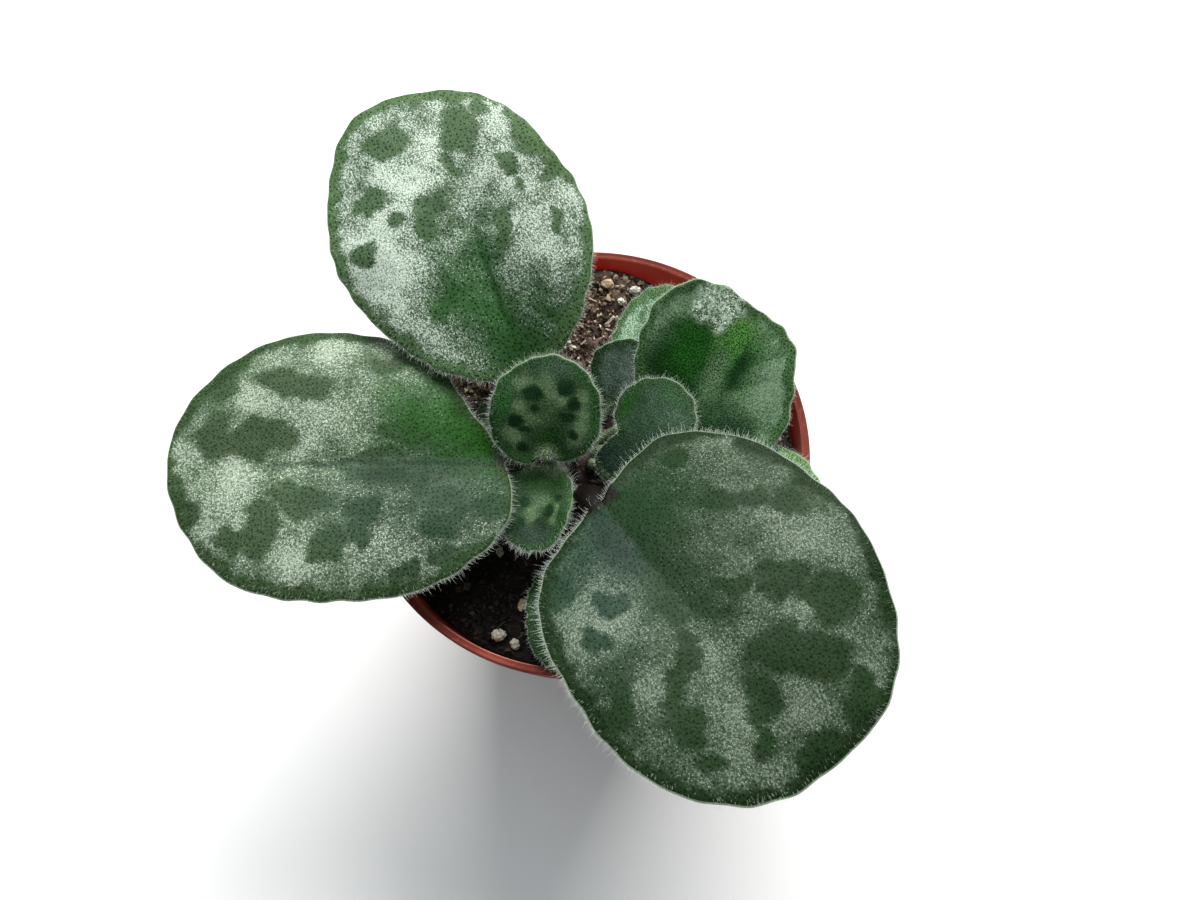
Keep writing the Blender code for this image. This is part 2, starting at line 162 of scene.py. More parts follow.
FIBRE_STEP = (0.4, 0.9)
FIBRE_BEND = 0.45
FIBRE_RISE = 0.35
FIBRE_LIFT = 0.3
FIBRE_RADIUS = 0.07
FIBRE_MARGIN = 4.0
FIBRE_SHADES = (0.4, 1.5)

# Lumps, against their own half size: the perlite's nodules, and the flat faces that cut a ball to a bark chip
NODULE_SIZES = (0.62, 0.26)
BARK_CUTS = 12
BARK_DEPTHS = (0.45, 0.80)

# Stem
STEM_PLACE = (-2.0, -1.0)
STEM_RADIUS = 4.2
STEM_TOP = 87.0
STEM_FOOT = 68.0
SCAR_PITCH = 0.6
SCAR_DEPTH = 0.28
CROWN_HAIRS = 4.0
CROWN_LENGTHS = (0.7, 1.8)
CROWN_RADIUS = 0.018
CROWN_WHITE = (0.1, 0.6)
CROWN_STRAY = 0.3
CROWN_BEND = 0.3

# Stalks, which start a little inside the stem, and the midribs that they become
STALK_SINK = 1.0
STALK_COLLAR = 0.6
STALK_SPREAD = 0.6
STALK_PULL = 0.4
STALK_COVER = 0.15
STALK_POINTS = 14
STALK_SIDES = 16
MIDRIB_POINTS = 16
MIDRIB_REACH = 0.62
MIDRIB_TIP = 0.35
MIDRIB_SINK = 0.9
MIDRIB_DROP = 0.5
MIDRIB_RATE = 4

# Blades. Leaves longer than OLD_LENGTH have finer teeth. A tooth's depth is against the leaf's length, and
# their number against its root. Veins: where each starts along the midrib, and how it slopes.
OLD_LENGTH = 40.0
OLD_TEETH = 0.003
YOUNG_TEETH = 0.010
TEETH_NUMBER = 3.2
TEETH_BEATS = 3.0
NOTCH_WIDTH = 1.5
EDGE_THICKNESS = 0.7
EDGE_BULGE = 0.25
EDGE_START = 0.75
VEIN_STARTS = (0.03, 0.10, 0.20, 0.33, 0.48, 0.64)
VEIN_SLOPES = (-0.35, 0.15, 0.45, 0.65, 0.8, 0.95)
VEIN_CURVE = 0.35
VEIN_DEPTH = 0.10
VEIN_LENGTH = 66.0
VEIN_WIDTH = 1.4
VEIN_REACH = 0.9
CUP_SHARES = (0.25, 0.75)
FOLD_LIFT = 0.45
FOLD_FADE = 0.6
FOLD_ROUND = 0.5
QUILT = 0.45
QUILT_SIZES = (9.0, 3.6)
QUILT_SHARE = 0.35

# Silver, blotches and pores. Sizes are in millimetres on a large leaf; levels are the noise values, or the
# distances in a cell, between which a thing starts and is full. A stipple is its dark and its light factor.
SPOT_LENGTH = 45.0
SPOT_RAGGED = 2.2
SPOT_SIZES = (4.5, 1.5)
SPOT_SHARE = 0.55
PATCH_SIZE = 9.0
MIDDLE_SIZE = 4.0
STREAK_SIZE = 4.2
FINE_SIZE = 1.8
FAN_BACK = 12
FIELD_SIZE = 3.0
FIELD_SHIFT = 0.8
OLD_STIPPLE = (0.62, 1.48)
YOUNG_STIPPLE = (0.40, 1.95)
STIPPLE_SIZE = 0.34
STIPPLE_LEVELS = (0.40, 0.60)
PORE_LEVELS = (0.15, 0.26)
SPECK_LEVELS = (0.57, 0.69)
DOT_LEVELS = (0.26, 0.46)
# How much brighter the grains are than the frost: the silver's cells, and in part painted glints of hair tips
GLOW = 2.6
BRIGHTEST = 0.93
# Painted highlights and glints on the glistening blade: their sizes and levels
HIGHLIGHT_SIZE = 1.6
HIGHLIGHT_LEVELS = (0.49, 0.54)
GLINT_SIZE = 0.40
GLINT_LEVELS = (0.58, 0.62)
RIM_FADE = 0.20
NO_MARGIN = 5.0

# Hairs. By the margin they are long and white, over the fringe's width, and also on a green stalk. Those less
# white than DOWN_WHITE are plain down. The radii are the least, and what whiteness adds. The fringe's rows are
# each a number for each millimetre, the shortest and longest hairs against the leaf's own, and their radius.
HAIR_ROOT = 0.08
HAIR_RADII = (0.012, 0.014)
HAIR_LENGTHS = (0.6, 1.25)
HAIR_LEANS = (0.25, 0.95)
HAIR_STRAY = 0.25
HAIR_BEND = 0.25
HAIR_TAPER = 0.7
HAIR_CURL = 2.5
HAIR_TIP = 0.95
UNDER_SHARE = 0.22
DOWN_WHITE = 0.4
MARGIN_WHITE = 0.70
MARGIN_LEAN = 0.9
STALK_WHITE = 0.9
SAG = (0.0, 0.0, -0.08)
FRINGE_WIDTH = 2.6
FRINGE = ((5.6, 0.35, 0.90, 0.021), (1.5, 0.9, 1.8, 0.024))
FRINGE_RISE = (-0.25, 0.60)
FRINGE_STRAY = 0.14
FRINGE_BEND = 0.30

# Linear colours; a pair is the dark and the light of a mottled surface, and a shade or cast is a factor
# Painted highlight along the leaves' edges
EDGE_HIGHLIGHT_GREEN = (0.27, 0.36, 0.24)
UNDER_GREEN = (0.10, 0.16, 0.07)
# The red stalk's dark reddish brown, darkened further as painted shade of the deep crown
SHADED_STALK_RED = (0.0040, 0.0022, 0.0018)
STALK_PALE = (0.085, 0.120, 0.070)
# Painted highlight and painted glint colours where the blade glistens
PAINTED_HIGHLIGHT_GREEN = (0.48, 0.62, 0.45)
PAINTED_GLINT = (0.92, 0.97, 0.90)
LEAF_CAST = (0.91, 1.03, 0.87)
PORE_SHADE = (0.10, 0.20, 0.12)
HAIR_COLOURS = ((0.055, 0.105, 0.050), (0.84, 0.90, 0.82))
POT_OUTSIDE = ((0.140, 0.024, 0.016), (0.185, 0.035, 0.023))
# Painted glow: the inner wall's paler colour stands for light coming through the plastic
POT_INSIDE_PAINTED_GLOW = ((0.28, 0.110, 0.080), (0.35, 0.140, 0.100))
POT_SPECK = (0.36, 0.14, 0.10)
POT_DUST = (0.120, 0.050, 0.036)
BED_BROWN = (0.105, 0.072, 0.057)
# Painted shade in the hollows of the mix's fine bumps
HOLLOW_SHADE = (0.45, 0.42, 0.40)
FIBRE_BROWN = (0.13, 0.08, 0.045)
PERLITE_COLOURS = ((0.52, 0.49, 0.41), (0.86, 0.84, 0.77))
PERLITE_CREASE = (0.30, 0.27, 0.21)
# Painted shade on the perlite towards the front
PERLITE_FRONT_SHADE = (0.28, 0.28, 0.22)
BARK_COLOURS = ((0.26, 0.17, 0.095), (0.66, 0.52, 0.34))
STEM_COLOURS = ((0.018, 0.006, 0.006), (0.042, 0.016, 0.012))
FLOOR_COLOURS = ((0.87, 0.87, 0.86), (0.91, 0.91, 0.90))

# The mix's grains: dark peat, bark brown, pale bark, tan, cream and moss green, with the share of each
GRAIN_COLOURS = ((0.055, 0.036, 0.030), (0.180, 0.118, 0.088), (0.400, 0.285, 0.205),
                 (0.780, 0.620, 0.430), (0.850, 0.780, 0.660), (0.330, 0.350, 0.130))
GRAIN_SHARES = (0.34, 0.32, 0.18, 0.08, 0.06, 0.02)


@dataclass
class Leaf:
    """A leaf's shape, as in its solid, and its looks.

    valley: depth and half width of the fold along the midrib. silver: how much of the blade is silvered.
    grain: how coarse the silver is. frost: the silver's colour. greens: the colours of the spots, between the
    silver grains, of the deep field by the base and of the margin. deep: that field's length, half width and
    shift. pores: the distance between the dark pores, and how dark they are. hairs: number on the upper face
    for each square millimetre, their length in the middle and by the margin, and how white they are in the
    middle. rim: how far in the pale edge, a painted highlight, reaches, and how pale it is. marks: unsilvered
    spots, each its place along and across the midrib, its half sizes and its turn. clouds: where the silver
    gathers, each its place, its spread and its strength. fields: larger patches, each as a mark with its colour
    and the silver left; some are painted sheen, painted glow or painted shade. red: how red the stalk is; a red
    stalk is bare, and a green one pale with hairs. wet: where the blade glistens, each place as a mark: a glossy
    coat there, with painted highlights and glints. funnel: how far the stalk's colour runs out over the blade.
    spread: how many times wider than high the stalk is where it meets the blade. band: how wide the green
    margin is. grit: the distance between the silver's grains.
    """

    name: str
    base: tuple
    heading: float
    rise: float
    roll: float
    length: float
    middle: tuple
    radii: tuple
    arch: float
    cup: float
    wave: tuple
    thickness: float
    stalk: tuple
    grid: int
    slot: str
    valley: tuple
    silver: float
    grain: float
    frost: tuple
    greens: tuple
    deep: tuple
    pores: tuple
    hairs: tuple
    rim: tuple = (0.08, 0.7)
    marks: tuple = ()
    clouds: tuple = ()
    fields: tuple = ()
    red: float = 0.3
    wet: tuple = ()
    funnel: float = 4.0
    spread: float = 1.3
    band: float = 2.2
    grit: float = 0.30


# Frosts, and the greens of each leaf: its blotches, between the silver grains, its deep field and its band
GREY_FROST = (0.42, 0.52, 0.42)
PALE_GREEN = (0.14, 0.22, 0.11)
BACK_GREENS = ((0.056, 0.094, 0.049), (0.034, 0.068, 0.030), (0.013, 0.056, 0.011), (0.066, 0.122, 0.050))
LEFT_GREENS = ((0.040, 0.064, 0.035), (0.045, 0.078, 0.042), (0.013, 0.052, 0.009), (0.020, 0.044, 0.012))
FRONT_GREENS = ((0.014, 0.031, 0.012), (0.015, 0.033, 0.014), (0.007, 0.024, 0.007), (0.006, 0.017, 0.0035))
CUPPED_GREENS = ((0.02, 0.06, 0.02), (0.025, 0.066, 0.023), (0.003, 0.028, 0.002), (0.034, 0.078, 0.027))
YOUNG_GREENS = ((0.002, 0.016, 0.004), (0.011, 0.030, 0.010), (0.005, 0.034, 0.002), (0.015, 0.048, 0.013))
WAVY_GREENS = ((0.02, 0.05, 0.02), (0.011, 0.029, 0.014), (0.006, 0.026, 0.005), (0.014, 0.040, 0.011))
OLD_GREENS = ((0.05, 0.10, 0.05), (0.060, 0.105, 0.058), (0.020, 0.062, 0.014), (0.050, 0.105, 0.038))
LIGHT_GREENS = ((0.05, 0.10, 0.05), (0.085, 0.160, 0.065), (0.030, 0.080, 0.020), (0.070, 0.150, 0.048))
# Painted shade: the greens of the low front leaf, darkened where it lies under the others
PAINTED_SHADE_GREENS = ((0.004, 0.014, 0.005), (0.006, 0.026, 0.007), (0.004, 0.020, 0.004), (0.007, 0.030, 0.006))
GREY_GREENS = ((0.06, 0.09, 0.05), (0.110, 0.145, 0.105), (0.060, 0.085, 0.055), (0.080, 0.115, 0.070))
DARK_GREENS = ((0.02, 0.05, 0.02), (0.034, 0.055, 0.042), (0.008, 0.026, 0.006), (0.010, 0.038, 0.006))

# Each leaf's values, in the order of the class's fields
LEAVES = (
    Leaf("leaf_back_left", (-10, 12, 101), 111.5, 12.5, 0, 69, (34.5, 3),
         (34.5, 35, 30.5, 27.5, 27, 27, 28.5, 32, 34.5, 33.5, 30.5, 28.5, 27, 26, 29, 33),
         6, -5, (0.8, 5, 30), 1.6, (2.0, 1.5, 122, 84.5), 91, "leaf_silver",
         (2.8, 8.0), 0.55, 1.0, (0.50, 0.585, 0.495), BACK_GREENS, (26, 9, 6), (1.2, 0.85),
         (2.4, 0.45, 1.2, 0.04), (0.10, 0.8),
         ((57, 11, 4.2, 4.6, 0), (55, -5, 5.6, 4.0, 0), (47.5, -0.5, 3.6, 1.9, 0), (45.5, 18.5, 3.4, 3.6, 20),
          (39, 15, 1.8, 1.8, 0), (35, 9, 3.6, 2.2, 0), (40.5, 9.5, 2.2, 1.6, 0), (43, -12, 3.0, 1.8, 0),
          (37.5, -12, 2.0, 1.6, 0), (30, -5.5, 4.0, 2.0, 0), (27.5, -17, 2.8, 1.3, 0), (35, 23, 2.6, 3.2, 0),
          (45, -19, 1.8, 2.4, 0), (38.5, -20, 2.6, 1.8, 0), (59, -10.5, 2.0, 3.0, 0), (18, 13, 3.0, 3.2, 0)),
         ((34, 22, 6, 0.6), (26, 21, 5, 0.5), (46, 13, 6, 0.3), (56.5, 2, 4, 0.15), (56, -12, 4, 0.15),
          (34, -17, 6, -0.1), (7, 11, 6, 0.1), (17, 19, 6, 0.15), (45, 3, 6, -0.1), (48, -8, 5, -0.1),
          (27, -21, 8, -0.15), (10, -16, 8, -0.15), (50, -22, 6, -0.2), (33, 0, 9, -0.2), (20, 16, 6, -0.15)),
         ((19.5, 5.5, 13, 12, 0, (0.019, 0.070, 0.016), 0.52), (12, 0.3, 20, 0.9, 0, (0.006, 0.036, 0.005), 0.2),
          (8, -5, 9, 7, 0, (0.022, 0.066, 0.018), 0.7), (4, 2, 7, 9, 0, (0.013, 0.054, 0.010), 0.5)), grit=0.26),
    Leaf("leaf_left", (-16, -5.5, 96), -173.5, 10.5, 0, 66.5, (32, -0.5),
         (34.5, 33, 32, 30, 29, 30.5, 33, 35, 32, 27.5, 28, 29, 29, 30.5, 33, 35),
         6, -6, (0.8, 5, 80), 1.6, (2.0, 1.5, 186, 84.5), 91, "leaf_silver",
         (4.0, 8.0), 0.41, 0.75, (0.36, 0.425, 0.335), LEFT_GREENS, (29, 12, -8), (1.1, 0.7),
         (2.4, 0.5, 1.2, 0.04), (0.10, 0.8),
         ((49, -5.5, 8.4, 3.9, 0), (58, -7, 3.4, 4.8, 0), (42, -16.8, 7.6, 3.2, -15), (55.5, -18, 3.4, 3.2, 0),
          (47.5, 13.5, 4.2, 5.8, 0), (53.5, 15, 2.8, 3.2, 0), (40.5, 8.2, 5.8, 3.4, -25), (62, 8.5, 2.8, 2.6, 0),
          (28, 11, 4.2, 3.0, -20), (35, 18.5, 3.2, 4.6, 0), (29, 16, 3.0, 2.6, 0), (14.5, 15.5, 3.4, 2.8, 0),
          (27, 3.5, 5.5, 2.0, 0), (13, 1.5, 7.0, 1.8, 0), (22.5, -20.5, 4.0, 2.0, 0), (24.5, -0.7, 4.4, 1.5, 0),
          (2, 11, 3.2, 2.2, 0), (12.5, 9, 4.4, 1.9, 0), (12.5, 21.5, 3.4, 2.0, 0), (21, 23.5, 3.2, 1.8, 0),
          (19.5, -5.5, 5.0, 2.6, -10)),
         ((49, -15, 4.5, 0.5), (37, -9, 5, 0.35), (34, -24, 4.5, 0.5), (28, -12, 4.5, 0.3),
          (52.5, -0.5, 4, 0.4), (63, -2.5, 3.5, 0.2), (57, 13, 4.5, 0.3), (41, 21, 5, 0.4), (25, 16, 5, 0.4),
          (20.5, 19.5, 4, 0.25), (29.5, 8.5, 3.5, 0.3), (1, 6, 4, 0.2), (22, -22, 8, -0.15),
          (55, -24, 6, -0.15)),
         # The first field, bluish over the near half, is painted sheen; the fourth is a painted shadow line along
         # the midrib, the fifth painted shade under the fold
         ((16, 11, 24, 13, 0, (0.023, 0.047, 0.029), 0.40), (10, -9, 18, 9, -15, (0.015, 0.070, 0.010), 0.45),
          (3, -7, 7, 5, -30, (0.010, 0.060, 0.004), 0.2), (24, 0.8, 30, 0.9, 0, (0.010, 0.027, 0.013), 0.3),
          (22, 4.6, 8, 3.2, 0, (0.012, 0.031, 0.016), 0.35)),
         red=0.6, band=1.8, grit=0.28),
    Leaf("leaf_front_right", (5, -17, 100), -55, 9, 0, 65.5, (30, 5),
         (35, 35, 33, 31, 31, 32.5, 35, 37.5, 32.5, 30.5, 32.5, 31.5, 30.5, 32.5, 35, 36),
         6, -4, (0.9, 6, 0), 1.6, (2.2, 1.6, -80, 84.5), 95, "leaf_silver",
         (3.8, 9.0), 0.34, 0.60, (0.172, 0.215, 0.162), FRONT_GREENS, (20, 9, 5), (1.15, 0.7),
         (2.2, 0.5, 1.35, 0.04), (0.12, 0.9),
         ((35.5, 16.5, 4.8, 3.8, 55), (43, 22, 5.8, 4.4, 55), (2, 18, 2.8, 2.8, 55), (16, 17, 4.6, 2.4, 55),
          (19.5, 22.5, 3.4, 2.3, 55), (24.5, 28.5, 3.8, 2.4, 55), (12.5, -17.5, 3.0, 3.0, 0),
          (21, -10, 3.8, 2.8, 55), (45, 8.5, 5.8, 3.8, 55), (50, 13.5, 5.6, 4.6, 55), (46.5, -12, 3.6, 3.8, 0),
          (53.5, -13, 3.0, 2.0, 55), (38.5, -22.5, 3.2, 2.4, 55), (50, 0.5, 3.0, 4.9, 55),
          (56.5, -3, 2.5, 2.5, 0), (62, 3.5, 4.2, 3.0, 55), (59.5, 14.5, 2.4, 5.0, 55), (31.5, 9.5, 3.2, 2.0, 55),
          (36, -4.5, 2.5, 4.2, 55), (40, -10.5, 2.0, 4.6, 55), (28.5, -3, 4.0, 3.0, 20), (25, 28, 4.0, 2.4, 55),
          (25, -16.5, 3.6, 2.2, 30), (36, -19.5, 3.4, 2.4, 0), (12, 1, 5.0, 1.4, 0)),
         ((22, -12, 6, 0.55), (22, -18, 5, 0.5), (30.5, 24, 4.5, 0.25), (24, 21, 4.5, 0.2), (38, -2, 4.5, 0.2),
          (45, 4, 3.5, 0.2), (52, -6.5, 4.5, 0.25), (58.5, -8, 4, 0.2), (46.5, -6, 4, 0.2), (55.5, 18, 4, 0.2),
          (5, 11.5, 5, 0.15), (36, 27, 4.5, 0.2), (37, -13, 5, 0.35), (57, 6, 4, 0.25), (30, 10, 5, 0.05),
          (9, 20, 6, 0.15)),
         # The first and third fields, bluish over the lower half and by the midrib, are painted sheen
         ((14, -10, 20, 11, -20, (0.018, 0.038, 0.028), 0.7), (5, 9, 15, 10, 50, (0.008, 0.028, 0.009), 0.3),
          (10, -3, 9, 3.5, 0, (0.010, 0.023, 0.018), 0.4), (26, 3, 14, 5, 0, (0.013, 0.031, 0.013), 0.4)),
         red=1.0, funnel=2.5, spread=2.3, band=2.0, grit=0.28),
    Leaf("leaf_cupped_right", (22.5, 4, 85), 57.5, 23.5, 1, 31.5, (16, -0.5),
         (15.5, 18, 20.5, 20.5, 19, 18.5, 18.5, 16.5, 16, 18, 21, 20.5, 18, 16.5, 17, 16),
         -1, 5, (0.7, 4, 0), 1.3, (1.4, 1.1, 12, 84.0), 71, "leaf_glossy",
         (1.4, 4.5), 0.40, 0.2, (0.215, 0.32, 0.20), CUPPED_GREENS, (14, 9, 3), (0.85, 0.90),
         (2.2, 0.35, 0.9, 0.04), (0.10, 0.8),
         clouds=((29, 7, 4, 0.4), (26, 14, 4, 0.4), (17, 18, 4, 0.2), (30, -2, 4, 0.4), (24, -9, 5, 0.2),
                 (18, -16, 7, 0.6), (9, -18, 5, 0.3)),
         fields=((12, 10, 9, 8, 20, (0.0015, 0.019, 0.001), 0.0),
                 (18, 7, 9, 7, 20, (0.005, 0.052, 0.003), 0.05),
                 (21, -4, 9, 5, -30, (0.018, 0.075, 0.014), 0.3),
                 # This bright yellow-green field is a painted glow of light through the blade, and the dark strip
                 # next painted shade by its ridge
                 (24.3, -0.4, 6.5, 4.2, -20, (0.048, 0.145, 0.026), 0.15),
                 (17.5, -4.3, 6.5, 2.3, 0, (0.002, 0.024, 0.002), 0.0),
                 (14.8, 0.4, 7, 2.2, 5, (0.060, 0.105, 0.052), 0.5),
                 (14.4, -7.2, 6, 0.9, -14, (0.065, 0.130, 0.056), 0.4),
                 (5, -9, 7, 7, 0, (0.007, 0.030, 0.009), 0.15)),
         wet=((29.5, 5, 3.4, 5.0, 0), (25.6, 4.2, 2.6, 2.8, 0), (26, 9.5, 2.6, 2.4, 0), (30, 9, 2, 3, 0))),
    Leaf("leaf_centre_upper", (-6.5, -5, 97), 84.5, 26, 0, 20.5, (9, 0.5),
         (11.5, 11, 11.5, 11.5, 12.5, 12.5, 10.5, 11.5, 12, 11.5, 11.5, 11.5),
         1, 1, (0.3, 5, 0), 1.2, (1.1, 0.9, 150, 87.3), 49, "leaf_young",
         (0.7, 2.5), 0.12, 0.1, PALE_GREEN, YOUNG_GREENS, (7, 3, -0.5), (0.60, 0.80),
         (3.4, 0.35, 1.3, 0.10), (0.14, 0.55),
         ((12.5, 3.6, 1.6, 2.2, 0), (14, -3.4, 1.8, 1.7, 0), (9.5, 2.9, 1.0, 1.1, 0), (6.6, 6.7, 1.5, 1.6, 0),
          (10.8, -5.4, 1.4, 1.3, 0), (8, -3.8, 1.0, 1.6, 0), (4.7, 4.7, 0.7, 1.6, 0), (1.1, 5.1, 1.1, 1.4, 0),
          (4.3, -5.5, 1.2, 1.0, 0)),
         ((14.7, 5.7, 2, 0.8), (14.7, 1, 2, 0.8), (12, -1, 2, 0.7), (9.2, 6.3, 1.6, 0.8), (7, 1, 2.2, 0.5),
          (4.2, 7.9, 1.8, 0.8), (2.7, 6.5, 1.8, 0.8), (12.3, -7.2, 1.4, 1.0), (9.1, -7.6, 1.4, 1.0),
          (5.8, -7.1, 1.6, 0.9), (3, -5.8, 1.8, 0.6), (11.2, -3, 1.2, 0.6), (6.7, 3.9, 1.4, 0.6)),
         # The first field, bluish at the far margin, is painted sheen
         ((19.5, 1, 3.5, 8, 0, (0.026, 0.050, 0.034), 0.9), (11, 10, 7, 2, 0, (0.016, 0.066, 0.017), 0.2),
          (10, -10.5, 7, 2, 0, (0.016, 0.066, 0.017), 0.2)),
         red=0.0, spread=1.6),
    Leaf("leaf_centre_lower", (-5, -6.5, 92), -99.5, 8.5, 12, 20, (9.5, -3),
         (10, 10.5, 9, 8.5, 9, 10, 10, 9.5, 9, 8.5, 8, 8.5),
         1, 0, (0.3, 5, 40), 1.2, (1.1, 0.9, -80, 87.3), 45, "leaf_young",
         (0.9, 2.2), 0.07, 0.1, PALE_GREEN, YOUNG_GREENS, (5, 4, -2), (0.60, 0.6),
         (4.0, 0.8, 1.8, 0.18), (0.14, 0.5),
         ((9.0, -4.9, 1.5, 1.0, 0), (7.4, 2.2, 1.3, 0.9, 0), (10.8, 0.8, 1.4, 1.2, 0), (14.3, -5.0, 1.4, 1.5, 0),
          (14.1, -0.4, 1.6, 1.6, 0), (11.5, 4.0, 2.2, 1.2, 0)),
         ((7.6, -1.8, 1.9, 0.4), (8.6, 0, 1.6, 0.35), (10.8, -2.6, 1.5, 0.5), (12.4, -2.8, 1.6, 0.5),
          (11.2, 2.5, 1.0, 0.6), (12.8, 2.2, 1.1, 0.6), (9.6, 2.8, 1.0, 0.5)),
         # The first field, bluish at the tip, is painted sheen
         ((18, -2, 4.0, 7, 0, (0.018, 0.033, 0.024), 0.6), (8.1, 5.4, 6, 1.3, 0, (0.022, 0.078, 0.015), 0.1),
          (3.2, -2, 3.5, 5.5, 0, (0.004, 0.024, 0.002), 0.0)),
         red=0.0, spread=1.6),
    Leaf("leaf_wavy_right", (10.5, -11, 88), 55.5, 18.5, -6, 25, (12.5, 4),
         (13, 12, 10.5, 7.5, 5.5, 12.5, 12.5, 12.5, 10, 9, 11, 12.5),
         1.5, -1, (0.4, 4, 20), 1.2, (1.2, 0.9, -28, 84.8), 49, "leaf_young",
         (0.8, 2.5), 0.20, 0.25, (0.085, 0.15, 0.095), WAVY_GREENS, (6, 3, 2), (0.70, 0.7),
         (4.0, 0.5, 1.2, 0.12), (0.12, 0.5),
         clouds=((18, 0, 4.5, 0.3), (9, 5, 4, 0.1)),
         fields=((15, 12, 6, 3.5, -20, (0.008, 0.042, 0.005), 0.1),
                 (24, 2, 3.5, 5, 20, (0.020, 0.056, 0.020), 0.3), (4, 7, 5, 6, 0, (0.013, 0.028, 0.022), 0.4)),
         red=0.0, spread=1.6),
    Leaf("leaf_low_back", (13, 13.5, 82.3), 73.5, 12, 0, 28.5, (14, 0),
         (14, 12, 10, 9.5, 10.5, 11, 14, 11.5, 9.5, 9.5, 11, 13),
         1, 1, (0.3, 4, 0), 1.2, (1.1, 0.9, 42, 81.5), 45, "leaf_old",
         (0.8, 3.0), 0.50, 0.9, (0.38, 0.57, 0.41), OLD_GREENS, (6, 3, 0), (0.9, 0.4), (3.0, 0.4, 1.1, 0.1)),
    Leaf("leaf_folded_small", (5.5, 11.5, 82.4), 68.5, 24.5, 0, 17, (8.5, 0),
         (8, 7, 7, 6.5, 6, 6.5, 8.5, 6.5, 5.5, 6, 7.5, 8.5),
         0, 2, (0.2, 3, 0), 1.1, (1.0, 0.8, 74, 82.5), 37, "leaf_old",
         (0.5, 2.0), 0.45, 0.3, (0.15, 0.21, 0.18), DARK_GREENS, (3, 2, 0), (0.7, 0.6), (4.0, 0.5, 1.0, 0.25),
         band=3.2),
    Leaf("leaf_low_right", (20, -5, 82.5), -14, 16, 0, 32.5, (16.5, -0.5),
         (16, 14, 11.5, 10.5, 11, 13.5, 16, 12, 10, 10.5, 11.5, 14),
         -1, 0, (0.3, 4, 0), 1.2, (1.1, 0.9, -12, 81.3), 45, "leaf_old",
         (0.8, 3.0), 0.12, 0.2, GREY_FROST, LIGHT_GREENS, (6, 3, 0), (0.9, 0.3), (3.0, 0.5, 1.2, 0.04)),
    # Painted shade: this leaf lies in shade, so its greens, pale rim and hairs are darkened
    Leaf("leaf_low_front", (-1, -21, 82), -94, 18.5, 0, 30, (15, -1),
         (14.5, 12, 9, 8, 8.5, 11, 14.5, 10.5, 8.5, 8, 8.5, 11.5),
         1, 0, (0.3, 4, 0), 1.2, (1.1, 0.9, -106, 81.3), 45, "leaf_old",
         (0.8, 3.0), 0.10, 0.5, GREY_FROST, PAINTED_SHADE_GREENS, (6, 3, 0), (0.9, 0.5), (2.0, 0.5, 0.8, 0.0),
         (0.08, 0.12)),
    Leaf("leaf_low_left", (-14, 1.5, 84), 134, 27.5, 0, 13, (6.5, 0.5),
         (6.5, 5.5, 4.5, 4.5, 4.5, 5, 6.5, 6.5, 5, 4, 4.5, 5.5),
         0, 1, (0.2, 3, 0), 1.1, (1.0, 0.8, 156, 82.0), 33, "leaf_old",
         (0.4, 1.5), 0.50, 0.3, (0.34, 0.42, 0.33), GREY_GREENS, (3, 2, 0), (0.6, 0.5), (5.0, 0.8, 1.6, 0.60)),
)

# Lumps lying on the mix; a name starts with what the lump is made of
LUMPS = ("perlite_front_large", "perlite_front_small", "perlite_middle", "perlite_right", "perlite_back",
         "perlite_back_small", "bark_chip_back", "bark_chip_front")


# ---------------------------------------------------------------- helpers

def smooth_step(low, high, value):
    t = np.clip((value - low) / (high - low), 0.0, 1.0)
    return t * t * (3.0 - 2.0 * t)


def noise_shift(seed):
    """Where in the noise a seed's own piece of it lies."""
    return Vector((seed * 7.3, seed * 3.1, seed * 1.7))


def noise_at(points, size, seed):
    """Smooth noise from about -1 to 1 at each point, for features of this size."""
    shift = noise_shift(seed)
    return np.array([noise.noise(Vector(point) / size + shift) for point in points])


def make_mesh(name, points, faces):
    """A mesh from points in millimetres."""
    mesh = bpy.data.meshes.new(name)
    mesh.from_pydata((np.asarray(points) * MM).tolist(), [], faces)
    mesh.validate()
    return mesh


def add_object(name, mesh, material=None):
    item = bpy.data.objects.new(name, mesh)
    bpy.context.scene.collection.objects.link(item)
    if material is not None:
        mesh.materials.clear()
        mesh.materials.append(material)
    mesh.shade_smooth()
    return item


def outward(mesh):
    """Turns the faces of a closed mesh outwards."""
    shape = bmesh.new()
    shape.from_mesh(mesh)
    bmesh.ops.recalc_face_normals(shape, faces=shape.faces)
    shape.to_mesh(mesh)
    shape.free()


def boolean(item, name, operation, other):
    """Joins another object to this one or cuts it out, and removes it; returns the new mesh."""
    change = item.modifiers.new(name, "BOOLEAN")
    change.operation = operation
    change.solver = "EXACT"
    change.object = other
    graph = bpy.context.evaluated_depsgraph_get()
    mesh = bpy.data.meshes.new_from_object(item.evaluated_get(graph))
    item.modifiers.clear()
    item.data = mesh
    mesh.shade_smooth()
    bpy.data.objects.remove(other, do_unlink=True)
    return mesh


def points_of(mesh):
    flat = np.empty(len(mesh.vertices) * 3)
    mesh.vertices.foreach_get("co", flat)
    return flat.reshape(-1, 3) / MM


def circle(radius, turns, height):
    """Points of a level ring about Z; radius and height may be numbers or one value a point."""
    return np.c_[radius * np.cos(turns), radius * np.sin(turns), np.broadcast_to(height, turns.shape)]


def ring_faces(rings, sides):
    """Faces between closed rings of points that follow each other."""
    return [
        (i * sides + j, i * sides + (j + 1) % sides, (i + 1) * sides + (j + 1) % sides, (i + 1) * sides + j)
        for i in range(rings - 1) for j in range(sides)
    ]


def copied_faces(faces, count, size):
    """The faces of that many copies of a shape whose points number size."""
    faces = np.array(faces)
    return (faces[None] + (np.arange(count) * size)[:, None, None]).reshape(-1, faces.shape[1]).tolist()


